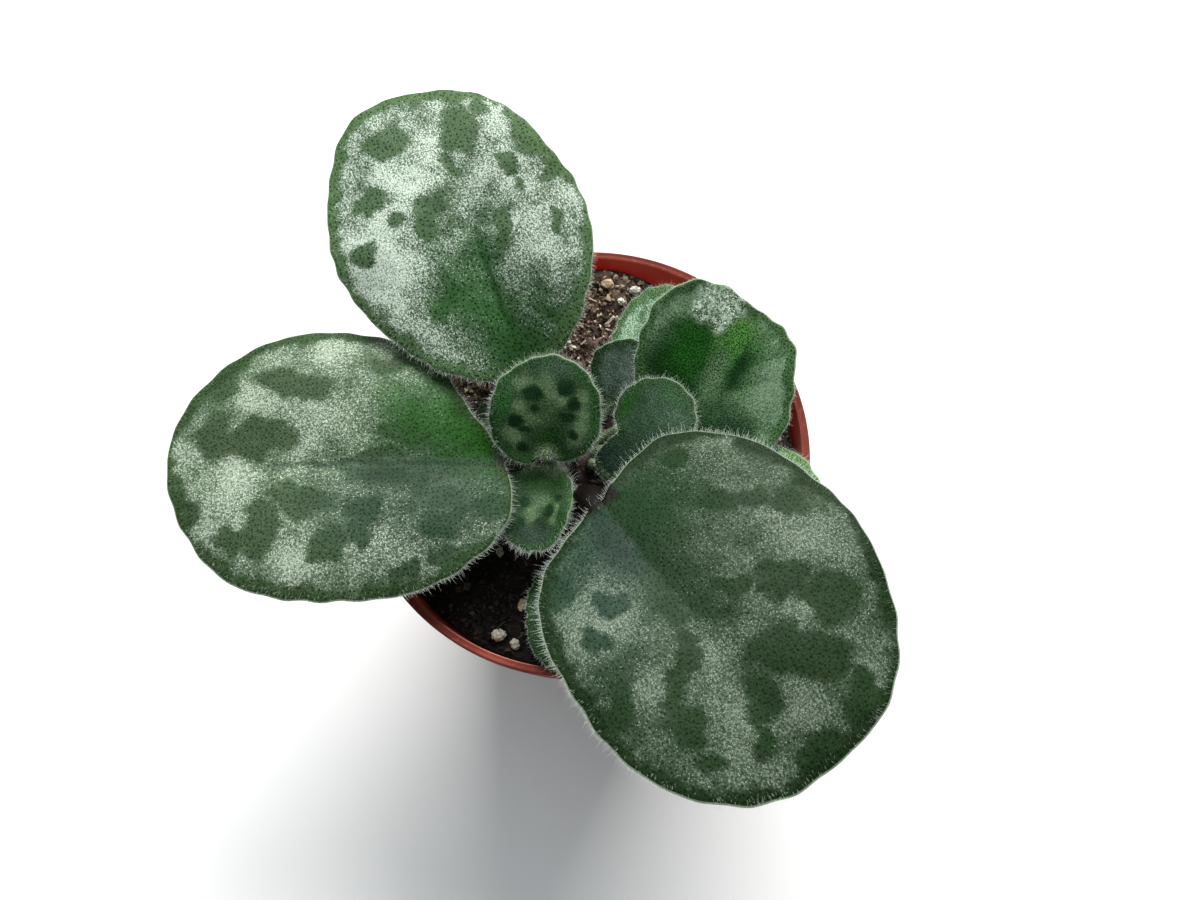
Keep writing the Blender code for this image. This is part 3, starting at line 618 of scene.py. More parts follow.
def set_values(mesh, name, values):
    mesh.attributes.new(name, "FLOAT", "POINT").data.foreach_set("value", np.asarray(values, np.float32))


def set_vectors(mesh, name, vectors):
    layer = mesh.attributes.new(name, "FLOAT_VECTOR", "POINT")
    layer.data.foreach_set("vector", np.asarray(vectors, np.float32).ravel())


def set_colours(mesh, name, colours):
    layer = mesh.attributes.new(name, "FLOAT_COLOR", "POINT")
    layer.data.foreach_set("color", np.c_[colours, np.ones(len(colours))].astype(np.float32).ravel())


def tube(path, radii, half_widths, sides):
    """Points and faces of a closed tube along a path; it may be wider than high."""
    path = np.asarray(path, float)
    way = np.gradient(path, axis=0)
    way /= np.linalg.norm(way, axis=1)[:, None]
    side = np.cross(way[0], (0.0, 0.0, 1.0) if abs(way[0][2]) < 0.9 else (1.0, 0.0, 0.0))
    turns = np.arange(sides) * TAU / sides
    points = []
    for place, direction, radius, wide in zip(path, way, radii, half_widths):
        side = side - direction * np.dot(side, direction)
        side /= np.linalg.norm(side)
        other = np.cross(direction, side)
        points.append(place + wide * np.outer(np.cos(turns), side) + radius * np.outer(np.sin(turns), other))
    points = np.concatenate(points)
    faces = ring_faces(len(path), sides)
    faces.append(tuple(reversed(range(sides))))
    faces.append(tuple(range(len(points) - sides, len(points))))
    return points, faces


def turned(name, profile, segments, material):
    """A closed body: a profile of (radius, height) points, turned about Z."""
    mesh = make_mesh(name, [(radius, 0.0, height) for radius, height in profile], [])
    shape = bmesh.new()
    shape.from_mesh(mesh)
    shape.verts.ensure_lookup_table()
    for i in range(len(profile) - 1):
        shape.edges.new((shape.verts[i], shape.verts[i + 1]))
    bmesh.ops.spin(shape, geom=shape.verts[:] + shape.edges[:], cent=(0, 0, 0), axis=(0, 0, 1),
                   angle=TAU, steps=segments, use_merge=True)
    bmesh.ops.remove_doubles(shape, verts=shape.verts, dist=MERGE * MM)
    bmesh.ops.recalc_face_normals(shape, faces=shape.faces)
    mesh.clear_geometry()
    mesh.from_pydata(*in_order(shape))
    shape.free()
    return add_object(name, mesh, material)


def in_order(shape):
    """A shape's points and faces in an order of their own: merging leaves them in another one each run."""
    shape.verts.index_update()
    points = [tuple(vert.co) for vert in shape.verts]
    order = sorted(range(len(points)), key=points.__getitem__)
    rank = {old: new for new, old in enumerate(order)}
    faces = []
    for face in shape.faces:
        corners = [rank[vert.index] for vert in face.verts]
        first = corners.index(min(corners))
        faces.append(corners[first:] + corners[:first])
    return [points[i] for i in order], [], sorted(faces)


def rounded(profile, radius, steps=4):
    """The profile with its corners cut back by up to radius, or nearly half a side, and rounded."""
    points = [np.array(point, float) for point in profile]
    result = [points[0]]
    for before, corner, after in zip(points, points[1:], points[2:]):
        back = before - corner
        ahead = after - corner
        cut = min(radius, 0.45 * np.linalg.norm(back), 0.45 * np.linalg.norm(ahead))
        start = corner + back / np.linalg.norm(back) * cut
        end = corner + ahead / np.linalg.norm(ahead) * cut
        for i in range(steps + 1):
            t = i / steps
            result.append((1 - t) ** 2 * start + 2 * t * (1 - t) * corner + t * t * end)
    result.append(points[-1])
    return [tuple(point) for point in result]


class Nodes:
    """A short way to write a material's node tree."""

    def __init__(self, name):
        self.material = bpy.data.materials.new(name)
        self.material.use_nodes = True
        self.tree = self.material.node_tree
        self.shader = self.tree.nodes["Principled BSDF"]

    def add(self, kind, inputs=(), **settings):
        node = self.tree.nodes.new(kind)
        for key, value in settings.items():
            setattr(node, key, value)
        for key, value in dict(inputs).items():
            self.put(node.inputs[key], value)
        return node

    def put(self, socket, value):
        if isinstance(value, bpy.types.NodeSocket):
            self.tree.links.new(value, socket)
        elif isinstance(value, tuple) and len(value) == 3 and socket.type == "RGBA":
            socket.default_value = (*value, 1.0)
        else:
            socket.default_value = value

    def attribute(self, name, output):
        return self.add("ShaderNodeAttribute", attribute_name=name).outputs[output]

    def own(self):
        return self.add("ShaderNodeTexCoord").outputs["Object"]

    def stretched(self, vector, scale):
        return self.add("ShaderNodeMapping", {"Vector": vector, "Scale": scale}).outputs[0]

    def math(self, operation, a, b):
        return self.add("ShaderNodeMath", {0: a, 1: b}, operation=operation).outputs[0]

    def times(self, a, b):
        return self.math("MULTIPLY", a, b)

    def ramp(self, value, low, high, to_low=0.0, to_high=1.0):
        """Maps low..high to to_low..to_high, smoothly and clamped."""
        inputs = {"Value": value, "From Min": low, "From Max": high, "To Min": to_low, "To Max": to_high}
        return self.add("ShaderNodeMapRange", inputs, interpolation_type="SMOOTHSTEP").outputs[0]

    def mix(self, amount, a, b, blend="MIX"):
        node = self.add("ShaderNodeMix", data_type="RGBA", blend_type=blend)
        self.put(node.inputs["Factor"], amount)
        self.put(node.inputs[6], a)
        self.put(node.inputs[7], b)
        return node.outputs[2]

    def shaded(self, colour, factors):
        return self.mix(1.0, colour, factors, "MULTIPLY")

    def noise(self, vector, size, detail, roughness=0.5, swirl=0.0):
        """Noise with features of this size, in the vector's own unit."""
        inputs = {"Vector": vector, "Scale": 1.0 / size, "Detail": detail, "Roughness": roughness,
                  "Distortion": swirl}
        return self.add("ShaderNodeTexNoise", inputs).outputs["Fac"]

    def cells(self, vector, size, output, randomness=1.0):
        inputs = {"Vector": vector, "Scale": 1.0 / size, "Randomness": randomness}
        return self.add("ShaderNodeTexVoronoi", inputs, voronoi_dimensions="2D").outputs[output]

    def bump(self, height, distance, strength, normal=None):
        inputs = {"Height": height, "Distance": distance, "Strength": strength}
        if normal is not None:
            inputs["Normal"] = normal
        return self.add("ShaderNodeBump", inputs).outputs[0]

    def finish(self, **inputs):
        """Sets or links the shader's sockets, by their names with underscores."""
        sockets = {socket.name.lower().replace(" ", "_"): socket for socket in self.shader.inputs}
        for key, value in inputs.items():
            self.put(sockets[key], value)
        return self.material


# ---------------------------------------------------------------- leaf shape

def leaf_axes(leaf):
    """Unit vectors along the midrib, to its left, and up from the blade."""
    heading, rise, roll = (math.radians(angle) for angle in (leaf.heading, leaf.rise, leaf.roll))
    along = np.array((math.cos(heading) * math.cos(rise), math.sin(heading) * math.cos(rise), math.sin(rise)))
    level = np.cross((0.0, 0.0, 1.0), along)
    level /= np.linalg.norm(level)
    left = level * math.cos(roll) + np.cross(along, level) * math.sin(roll)
    return along, left, np.cross(along, left)


def outline_radius(leaf, angle):
    """Distance from the blade's middle to its margin: a Catmull-Rom curve through the radii, toothed, and
    notched where the stalk comes in."""
    radii = np.array(leaf.radii, float)
    count = len(radii)
    place = (np.asarray(angle) / TAU * count) % count
    i = np.floor(place).astype(int)
    t = place - i
    a, b, c, d = (radii[(i + k) % count] for k in (-1, 0, 1, 2))
    smooth = b + 0.5 * t * (c - a + t * (2 * a - 5 * b + 4 * c - d + t * (3 * (b - c) + d - a)))
    to_base = math.hypot(*leaf.middle)
    away = (np.asarray(angle) - math.atan2(-leaf.middle[1], -leaf.middle[0]) + math.pi) % TAU - math.pi
    notch = (smooth - to_base) * np.exp(-(away * to_base / (NOTCH_WIDTH * leaf.stalk[1])) ** 2)
    number = round(TEETH_NUMBER * math.sqrt(leaf.length))
    size = leaf.length * (OLD_TEETH if leaf.length > OLD_LENGTH else YOUNG_TEETH)
    teeth = size * np.sin(number * angle + leaf.heading) * np.sin(TEETH_BEATS * angle + leaf.length)
    return smooth - notch + teeth


def blade_spot(leaf, angle, radius):
    """Along and across the midrib, from an angle and a distance about the blade's middle."""
    return leaf.middle[0] + radius * np.cos(angle), leaf.middle[1] + radius * np.sin(angle)


def blade_place(leaf, along, across):
    """Angle about the blade's middle, and reach: 0 in the middle, 1 at the margin."""
    angle = np.arctan2(across - leaf.middle[1], along - leaf.middle[0])
    radius = np.hypot(along - leaf.middle[0], across - leaf.middle[1])
    return angle, radius / outline_radius(leaf, angle)


def veins(leaf, along, across):
    """How deep the side veins are pressed in: 1 on a vein, 0 between them."""
    side = np.abs(across)
    total = np.zeros_like(side)
    for start, slope in zip(VEIN_STARTS, VEIN_SLOPES):
        line = start * leaf.length + slope * side + VEIN_CURVE * side * side / leaf.length
        total = np.maximum(total, np.exp(-((along - line) / VEIN_WIDTH) ** 2))
    reach = side / (VEIN_REACH * max(leaf.radii))
    return total * smooth_step(1.0, 0.3, reach) * smooth_step(0.0, 0.06, reach)


def blade_height(leaf, along, across):
    """The upper face's height off the blade's flat plane: the solid's bend, with the fold along the midrib
    and the side veins."""
    angle, reach = blade_place(leaf, along, across)
    step = np.clip(along / leaf.length, 0.0, 1.0)
    bow = leaf.arch * 4 * step * (1 - step)
    wide = np.abs(across) / max(leaf.radii)
    side = leaf.cup * (CUP_SHARES[0] * wide ** 2 + CUP_SHARES[1] * wide ** 4)
    size, count, turn = leaf.wave
    wave = size * np.minimum(reach, 1.1) ** 3 * np.sin(count * angle + math.radians(turn))
    depth, width = leaf.valley
    out = np.exp((FOLD_ROUND - np.sqrt(across ** 2 + FOLD_ROUND ** 2)) / width)
    fold = depth * (FOLD_LIFT - (1 - FOLD_FADE * step) * out)
    press = VEIN_DEPTH * math.sqrt(leaf.length / VEIN_LENGTH) * veins(leaf, along, across)
    return bow + side + wave + fold * smooth_step(1.35, 0.6, reach) - press


def noise_plane(leaf, along, across, shift=0):
    """The blade's own plane in the noise, at a level of its own for each leaf."""
    return np.c_[along.ravel(), across.ravel(), np.full(along.size, leaf.heading + shift)]


def quilting(leaf, along, across):
    """Soft unevenness of the blade, as a height."""
    points = noise_plane(leaf, along, across)
    wide, fine = (noise_at(points, size, seed) * QUILT for seed, size in enumerate(QUILT_SIZES, 1))
    return (wide + fine * QUILT_SHARE).reshape(along.shape) * min(1.0, leaf.length / OLD_LENGTH)


def face_height(leaf, along, across):
    return blade_height(leaf, along, across) + quilting(leaf, along, across)


def to_world(leaf, along, across, height):
    u, v, n = leaf_axes(leaf)
    along, across, height = (np.asarray(value, float)[..., None] for value in (along, across, height))
    return np.array(leaf.base) + along * u + across * v + height * n


def to_leaf(leaf, points):
    """Each point's place along and across the midrib, and its height off the blade's flat plane."""
    away = points - np.array(leaf.base)
    return [away @ axis for axis in leaf_axes(leaf)]


def disc_grid(count):
    """A square grid bent to a disc: each point's angle and reach, and the border's points in order."""
    line = np.linspace(-1.0, 1.0, count)
    a, b = np.meshgrid(line, line, indexing="ij")
    wide = np.abs(a) > np.abs(b)
    radius = np.where(wide, a, b)
    safe_a = np.where(a == 0, 1.0, a)
    safe_b = np.where(b == 0, 1.0, b)
    angle = np.where(wide, math.pi / 4 * b / safe_a, math.pi / 2 - math.pi / 4 * a / safe_b)
    angle = np.where(radius < 0, angle + math.pi, angle)
    last = count - 1
    border = [(last, j) for j in range(last)] + [(last - i, last) for i in range(last)]
    border += [(0, last - j) for j in range(last)] + [(i, 0) for i in range(last)]
    return angle, np.abs(radius), [i * count + j for i, j in border]


def blade_mesh(leaf):
    """The blade as a closed shell with a rounded edge."""
    count = leaf.grid
    angle, reach, border = disc_grid(count)
    along, across = blade_spot(leaf, angle, outline_radius(leaf, angle) * reach)
    upper = face_height(leaf, along, across)
    thick = EDGE_THICKNESS + (leaf.thickness - EDGE_THICKNESS) * smooth_step(1.0, EDGE_START, reach)
    top = to_world(leaf, along, across, upper).reshape(-1, 3)
    bottom = to_world(leaf, along, across, upper - thick).reshape(-1, 3)
    edge_along = along.ravel()[border] + EDGE_BULGE * np.cos(angle.ravel()[border])
    edge_across = across.ravel()[border] + EDGE_BULGE * np.sin(angle.ravel()[border])
    edge = to_world(leaf, edge_along, edge_across, upper.ravel()[border] - EDGE_THICKNESS / 2)
    size = count * count
    cells = [(i * count + j, (i + 1) * count + j, (i + 1) * count + j + 1, i * count + j + 1)
             for i in range(count - 1) for j in range(count - 1)]
    faces = cells + [tuple(size + k for k in reversed(cell)) for cell in cells]
    for k, corner in enumerate(border):
        after = (k + 1) % len(border)
        faces.append((corner, 2 * size + k, 2 * size + after, border[after]))
        faces.append((2 * size + k, size + corner, size + border[after], 2 * size + after))
    mesh = make_mesh(leaf.name, np.concatenate((top, bottom, edge)), faces)
    outward(mesh)
    return mesh


def stalk_path(leaf):
    """Points, radii and half widths of the stalk, and of the midrib that it becomes under the blade."""
    root, foot, heading, height = leaf.stalk
    direction = np.array((math.cos(math.radians(heading)), math.sin(math.radians(heading)), 0.0))
    start = np.array((*STEM_PLACE, height))
    if height > STEM_TOP:
        out = np.array((0.0, 0.0, 1.0))
        start = start + direction * (root + STALK_SPREAD) - out * STALK_SINK
    else:
        out = direction
        start = start + direction * (STEM_RADIUS - STALK_SINK)
    zero = np.zeros(1)
    end = to_world(leaf, zero, zero, blade_height(leaf, zero, zero) - foot + STALK_COVER)[0]
    pull = np.linalg.norm(end - start) * STALK_PULL
    bend = start + out * (STALK_COLLAR + STALK_SINK)
    t = np.linspace(0.0, 1.0, STALK_POINTS)[:, None]
    curve = ((1 - t) ** 3 * bend + 3 * t * (1 - t) ** 2 * (bend + out * pull)
             + 3 * t * t * (1 - t) * (end - leaf_axes(leaf)[0] * pull) + t ** 3 * end)
    share = np.linspace(0.0, 1.0, MIDRIB_POINTS)[1:]
    settled = np.clip(share * MIDRIB_RATE, 0.0, 1.0)
    along = share * leaf.length * MIDRIB_REACH
    radius = foot + (MIDRIB_TIP - foot) * np.sqrt(share)
    sink = settled * (MIDRIB_SINK * leaf.thickness - radius + STALK_COVER)
    depth = radius - STALK_COVER + np.maximum(sink, 0.0) + MIDRIB_DROP * settled
    rib = to_world(leaf, along, zero, blade_height(leaf, along, np.zeros_like(along)) - depth)
    radii = np.array([root, *(root + (foot - root) * t[:, 0]), *radius])
    widening = np.array([0.0, *t[:, 0] ** 1.5, *(1.0 - settled)])
    return np.array([start, *curve, *rib]), radii, radii * (1.0 + (leaf.spread - 1.0) * widening)


# ---------------------------------------------------------------- leaf colour

def ellipse_reach(along, across, ellipse):
    """How far out each point lies in an ellipse, given as its place, half sizes and turn: 1 on its edge."""
    middle_along, middle_across, half_length, half_width, turn = ellipse
    turn = math.radians(turn)
    x = along - middle_along
    y = across - middle_across
    u = x * math.cos(turn) + y * math.sin(turn)
    v = y * math.cos(turn) - x * math.sin(turn)
    return np.hypot(u / half_length, v / half_width)


def spots(leaf, along, across):
    """1 inside the unsilvered spots, with ragged edges."""
    points = noise_plane(leaf, along, across)
    scale = min(1.0, leaf.length / SPOT_LENGTH)
    wide, fine = (size * scale for size in SPOT_SIZES)
    most = SPOT_RAGGED * scale ** 1.8
    ragged_along, ragged_across = (
        most * (noise_at(points, wide, seed) + SPOT_SHARE * noise_at(points, fine, seed + 1)) for seed in (3, 5)
    )
    total = np.zeros_like(along)
    for mark in leaf.marks:
        reach = ellipse_reach(along + ragged_along, across + ragged_across, mark)
        total = np.maximum(total, smooth_step(1.25, 0.75, reach))
    return total


def mixed(colours, other, amount):
    amount = np.asarray(amount)[:, None]
    return colours * (1 - amount) + np.array(other) * amount


def stalk_share(leaf, points, along):
    """1 on the stalk, 0 on the blade, fading over the blade's first millimetres."""
    path, _, half_widths = stalk_path(leaf)
    steps = np.arange(len(path))
    way = np.linspace(0, STALK_POINTS, 80)
    places = np.stack([np.interp(way, steps, path[:, k]) for k in range(3)], axis=1)
    reach = np.interp(way, steps, half_widths)
    near = np.min(np.linalg.norm(points[:, None] - places[None], axis=2) - reach[None], axis=1)
    on_stalk = smooth_step(0.35, 0.1, near) * smooth_step(1.5, -1.0, along)
    funnel = smooth_step(leaf.funnel, 0.0, np.abs(along)) * smooth_step(0.6 * leaf.funnel, 0.3, near)
    return np.maximum(on_stalk, funnel)


def patches(leaf, along, across, list_of_patches):
    """How far each point lies in each soft-edged patch, and what else the patch says."""
    shift = noise_at(noise_plane(leaf, along, across, 40), FIELD_SIZE, 9) * FIELD_SHIFT
    for patch in list_of_patches:
        reach = ellipse_reach(along + shift, across + shift, patch[:5])
        yield smooth_step(1.35, 0.25, reach), patch[5:]


def blade_colours(leaf, along, across, margin):
    """The blade's greens and how silvered it is, at each point of its upper face."""
    local = noise_plane(leaf, along, across)
    scale = min(1.0, 0.35 + leaf.length / 100.0)
    patch = noise_at(local, PATCH_SIZE * scale, 7)
    middle = noise_at(local, MIDDLE_SIZE * scale, 10)
    fine = noise_at(local, FINE_SIZE * scale, 8)
    back = along + FAN_BACK
    fan = np.c_[0.4 * np.hypot(back, across), 20 * scale * np.arctan2(across, back), local[:, 2]]
    streak = noise_at(fan, STREAK_SIZE * scale, 12)

    spot = spots(leaf, along, across)
    wide = leaf.band * min(1.0, 0.3 + leaf.length / 60.0)
    band = smooth_step(wide * 1.5, wide * 0.5, margin + scale * (1.1 * fine + 0.8 * middle + 2.0 * patch))
    length, width, shift = leaf.deep
    far = np.hypot(np.maximum(along, 0.0) / length, (across - shift * np.minimum(along / length, 1)) / width)
    rib = np.exp(-(across / 1.2) ** 2) * smooth_step(0.8 * leaf.length, 0.1 * leaf.length, along) * 0.6
    deep = np.clip(np.maximum(np.exp(-far ** 2.6) * (0.95 + 0.25 * middle), rib), 0.0, 1.0)

    silver = leaf.silver * (0.95 + 0.55 * patch + 0.55 * middle + 0.65 * streak + 0.3 * fine)
    for middle_along, middle_across, spread, strength in leaf.clouds:
        away = (along - middle_along) ** 2 + (across - middle_across) ** 2
        silver += strength * np.exp(-away / spread ** 2)
    silver = np.clip(silver, 0.0, 1.1) * (1 - 0.96 * spot) * (1 - 0.9 * band) * (1 - 0.8 * deep)
    silver *= 1 - 0.25 * veins(leaf, along, across)

    mark_green, gap_green, deep_green, band_green = leaf.greens
    tint = mixed(np.tile(gap_green, (len(along), 1)), mark_green, spot)
    tint = mixed(tint, deep_green, deep * (1 - 0.6 * spot * (1 - rib)))
    for share, (colour, left) in patches(leaf, along, across, leaf.fields):
        tint = mixed(tint, colour, share)
        silver = silver * (1 - share * (1 - left))
    tint = mixed(tint, band_green, band * 0.75) * (1 + 0.10 * fine + 0.12 * middle)[:, None]
    return tint, silver


def paint_leaf(leaf, mesh):
    """Writes the leaf's colour fields to its mesh: tint, silver, wet, plane (the blade's own coordinates) and
    margin (how far in from it). Returns where the upper face, the stalk and the strip by the margin are."""
    points = points_of(mesh)
    along, across, height = to_leaf(leaf, points)
    angle, reach = blade_place(leaf, along, across)
    margin = (1 - reach) * outline_radius(leaf, angle)
    depth = face_height(leaf, along, across) - height
    upper = smooth_step(0.55, 0.15, depth) * smooth_step(-0.6, -0.1, margin)
    stalk = stalk_share(leaf, points, along)
    tint, silver = blade_colours(leaf, along, across, margin)
    tint = mixed(tint, UNDER_GREEN, 1 - smooth_step(0.7, 0.2, depth))
    tint = mixed(tint, np.array(STALK_PALE) * (1 - leaf.red) + np.array(SHADED_STALK_RED) * leaf.red, stalk)
    # Where the blade glistens: a glossy coat, with painted highlights and glints
    gloss_and_glint_share = np.zeros_like(along)
    for share, _ in patches(leaf, along, across, leaf.wet):
        gloss_and_glint_share = np.maximum(gloss_and_glint_share, share)
    set_colours(mesh, "tint", np.clip(tint, 0.0, 1.0))
    set_values(mesh, "silver", np.clip(silver, 0.0, 1.0) * upper * (1 - stalk))
    set_values(mesh, "wet", gloss_and_glint_share * upper)
    set_vectors(mesh, "plane", np.c_[along, across, np.zeros_like(along)])
    set_values(mesh, "margin", np.where((margin < -0.5) | (stalk > 0.05), NO_MARGIN, margin))
    return upper, stalk, smooth_step(FRINGE_WIDTH, 0.5, margin)


def frosted_colour(n, leaf, plane, silver, pore):
    """The painted greens, stippled, under a haze and specks of silver, with dark pores and bright grains: the
    silver's cells, and in part painted glints of hair tips.
    """
    tint = n.shaded(n.attribute("tint", "Color"), LEAF_CAST)
    low, high = OLD_STIPPLE if leaf.length > OLD_LENGTH else YOUNG_STIPPLE
    stipple = n.ramp(n.noise(plane, STIPPLE_SIZE, 1.5), *STIPPLE_LEVELS)
    dark, light = (low, 1.1 * low, low), (high, 0.9 * high, 0.96 * high)
    green = n.mix(stipple, n.shaded(tint, dark), n.shaded(tint, light))
    speck = n.noise(plane, 1.5 * leaf.grit, 2.0, 0.65, 0.6)
    cover = n.ramp(n.math("ADD", n.times(silver, 0.18), speck), *SPECK_LEVELS)
    cover = n.times(cover, n.ramp(silver, 0.02, 0.50, 0.0, 0.60 + 0.35 * leaf.grain))
    cover = n.math("MAXIMUM", cover, n.times(silver, 0.50 - 0.28 * leaf.grain))
    frosted = n.mix(pore, n.mix(cover, green, leaf.frost), n.shaded(tint, PORE_SHADE))
    random = n.add("ShaderNodeSeparateColor", {0: n.cells(plane, leaf.grit, "Color")})
    dot = n.ramp(n.cells(plane, leaf.grit, "Distance"), *DOT_LEVELS, 1.0, 0.0)
    level = n.math("SUBTRACT", n.times(silver, 0.60), random.outputs[0])
    grains = n.times(n.times(dot, n.ramp(level, -0.08, 0.15)), n.ramp(silver, 0.02, 0.15))
    # The grains' bright colour is the silver's cells, and in part painted glints of the hair tips
    glow = n.shaded(leaf.frost, (min(GLOW, BRIGHTEST / max(leaf.frost)),) * 3)
    bright = n.mix(n.math("POWER", random.outputs[1], 2.0), leaf.frost, glow)
    return n.mix(n.times(grains, 0.15 + 0.80 * leaf.grain), frosted, bright)


def leaf_material(leaf):
    """The frosted blade with its pale rim, a painted edge highlight, matt and finely uneven, and glossy where the
    leaf says so, with painted highlights and glints there.
    """
    n = Nodes(leaf.name)
    plane = n.attribute("plane", "Vector")
    silver = n.attribute("silver", "Fac")
    wet = n.attribute("wet", "Fac")
    pitch, darkness = leaf.pores
    pore = n.ramp(n.cells(plane, pitch, "Distance", 0.75), *PORE_LEVELS, 1.0, 0.0)
    pore = n.times(pore, n.ramp(silver, 0.1, 0.8, darkness, darkness * (0.62 - 0.5 * leaf.grain)))
    colour = frosted_colour(n, leaf, plane, silver, pore)
    # Painted highlights and glints where the blade glistens, over its glossy coat
    if leaf.wet:
        highlight = n.ramp(n.noise(plane, HIGHLIGHT_SIZE, 5.0, 0.75, 1.5), *HIGHLIGHT_LEVELS)
        colour = n.mix(n.times(wet, highlight), colour, PAINTED_HIGHLIGHT_GREEN)
        glint = n.ramp(n.noise(plane, GLINT_SIZE, 2.0, 0.6), *GLINT_LEVELS)
        colour = n.mix(n.times(wet, glint), colour, PAINTED_GLINT)
    # The pale rim is a painted highlight along the edge
    reach, paleness = leaf.rim
    rim = n.ramp(n.attribute("margin", "Fac"), reach - RIM_FADE, reach, paleness, 0.0)
    height = n.math("SUBTRACT", n.noise(plane, 0.5, 3.0), n.times(pore, 0.5))
    normal = n.bump(height, 0.00011, 0.6, n.bump(n.noise(plane, 2.0, 2.0), 0.00035, 0.5))
    return n.finish(base_color=n.mix(rim, colour, EDGE_HIGHLIGHT_GREEN), normal=normal, specular_ior_level=0.08,
                    roughness=n.ramp(n.noise(plane, 0.8, 3.0), 0.25, 0.75, 0.46, 0.60),
                    coat_weight=n.times(wet, 0.9), coat_roughness=0.12,
                    coat_normal=n.bump(n.noise(plane, 1.2, 3.0), 0.0012, 1.0))


def hair_material():
    """White hairs by the margin, thinner and greener over the blade."""
    n = Nodes("leaf_hair")
    tone = n.ramp(n.noise(n.own(), 0.004, 2.0), 0.3, 0.7, 0.85, 1.0)
    pale = n.times(n.attribute("pale", "Fac"), tone)
    return n.finish(base_color=n.mix(pale, *HAIR_COLOURS), roughness=0.5, specular_ior_level=0.2)


# ---------------------------------------------------------------- hairs

def hairs_mesh(name, roots, ways, lengths, radii, pale, bend, rng, rings=2):
    """Tapered, bent hairs as one mesh, each a closed three-sided spike. pale: how white each hair is."""
    count = len(roots)
    ways = ways / np.linalg.norm(ways, axis=1)[:, None]
    side = np.cross(ways, rng.normal(size=(count, 3)))
    side /= np.linalg.norm(side, axis=1)[:, None]
    other = np.cross(ways, side)
    curl = (side * rng.normal(0, bend, (count, 1)) + np.array(SAG)) * lengths[:, None]
    radii = np.broadcast_to(radii, (count,))[:, None]
    columns = []
    for ring in range(rings):
        t = ring / rings
        centre = roots + ways * (lengths * t)[:, None] + curl * t ** HAIR_CURL
        for turn in np.arange(3) * TAU / 3:
            spread = (side * math.cos(turn) + other * math.sin(turn)) * radii
            columns.append(centre + spread * (1 - HAIR_TAPER * t))
    columns.append(roots + ways * (lengths * HAIR_TIP)[:, None] + curl)
    size = len(columns)
    pattern = [(3 * ring + k, 3 * ring + (k + 1) % 3, 3 * ring + 3 + (k + 1) % 3, 3 * ring + 3 + k)
               for ring in range(rings - 1) for k in range(3)]
    tips = [(size - 4 + k, size - 4 + (k + 1) % 3, size - 1) for k in range(3)]
    faces = copied_faces(pattern, count, size) if pattern else []
    faces += copied_faces(tips + [(2, 1, 0)], count, size)
    mesh = make_mesh(name, np.stack(columns, axis=1).reshape(-1, 3), faces)
    set_values(mesh, "pale", np.repeat(np.broadcast_to(pale, (count,)), size))
    return mesh


def surface_samples(mesh, weights, density, rng):
    """Random places on a mesh, denser where its vertices weigh more, and the normals there."""
    mesh.calc_loop_triangles()
    corners = np.empty(len(mesh.loop_triangles) * 3, int)
    mesh.loop_triangles.foreach_get("vertices", corners)
    corners = corners.reshape(-1, 3)
    points = points_of(mesh)
    normals = np.empty(len(mesh.vertices) * 3)
    mesh.vertices.foreach_get("normal", normals)
    a, b, c = (points[corners[:, k]] for k in range(3))
    area = np.linalg.norm(np.cross(b - a, c - a), axis=1) / 2 * weights[corners].mean(axis=1)
    count = int(area.sum() * density)
    chosen = corners[rng.choice(len(corners), count, p=area / area.sum())]
    mix = rng.dirichlet((1.0, 1.0, 1.0), count)[:, :, None]
    ups = (normals.reshape(-1, 3)[chosen] * mix).sum(axis=1)
    return (points[chosen] * mix).sum(axis=1), ups / np.linalg.norm(ups, axis=1)[:, None]


def outward_ways(leaf, angle):
    """Unit vectors in the blade's plane, away from its middle."""
    u, v, _ = leaf_axes(leaf)
    return np.cos(angle)[:, None] * u + np.sin(angle)[:, None] * v


def face_hairs(leaf, mesh, upper, stalk, edge, rng):
    """Fine down over the upper face, fewer beneath, and longer, stouter, whiter hairs by the margin and on a
    green stalk: up to two meshes."""
    density, short, long, white = leaf.hairs
    on_face = UNDER_SHARE + (1 - UNDER_SHARE) * upper
    weights = on_face * (1 - 0.4 * edge) * (1 + (1.6 - 2.5 * leaf.red) * stalk)
    places, ups = surface_samples(mesh, weights, density, rng)
    count = len(places)
    along, across, _ = to_leaf(leaf, places)
    angle, reach = blade_place(leaf, along, across)
    margin = (1 - reach) * outline_radius(leaf, angle)
    near = smooth_step(FRINGE_WIDTH, 0.5, margin) * (along > 1.0)
    on_stalk = smooth_step(2.2, 0.8, np.hypot(np.maximum(along, 0.0), across)) * (1.0 - leaf.red)
    lean = (rng.uniform(*HAIR_LEANS, count) + MARGIN_LEAN * near) * (reach < 1.1)
    ways = ups + outward_ways(leaf, angle) * lean[:, None] + rng.normal(0, HAIR_STRAY, (count, 3))
    lengths = (short + (long - short) * np.maximum(near, on_stalk)) * rng.uniform(*HAIR_LENGTHS, count)
    pale = np.maximum(white, np.maximum(MARGIN_WHITE * near, STALK_WHITE * on_stalk))
    radii = HAIR_RADII[0] + HAIR_RADII[1] * pale
    roots = places - ups * HAIR_ROOT
    down = pale < DOWN_WHITE
    return [hairs_mesh(leaf.name + name, roots[some], ways[some], lengths[some], radii[some], pale[some],
                       HAIR_BEND, rng, rings)
            for name, some, rings in (("_down", down, 1), ("_hairs", ~down, 2)) if some.any()]


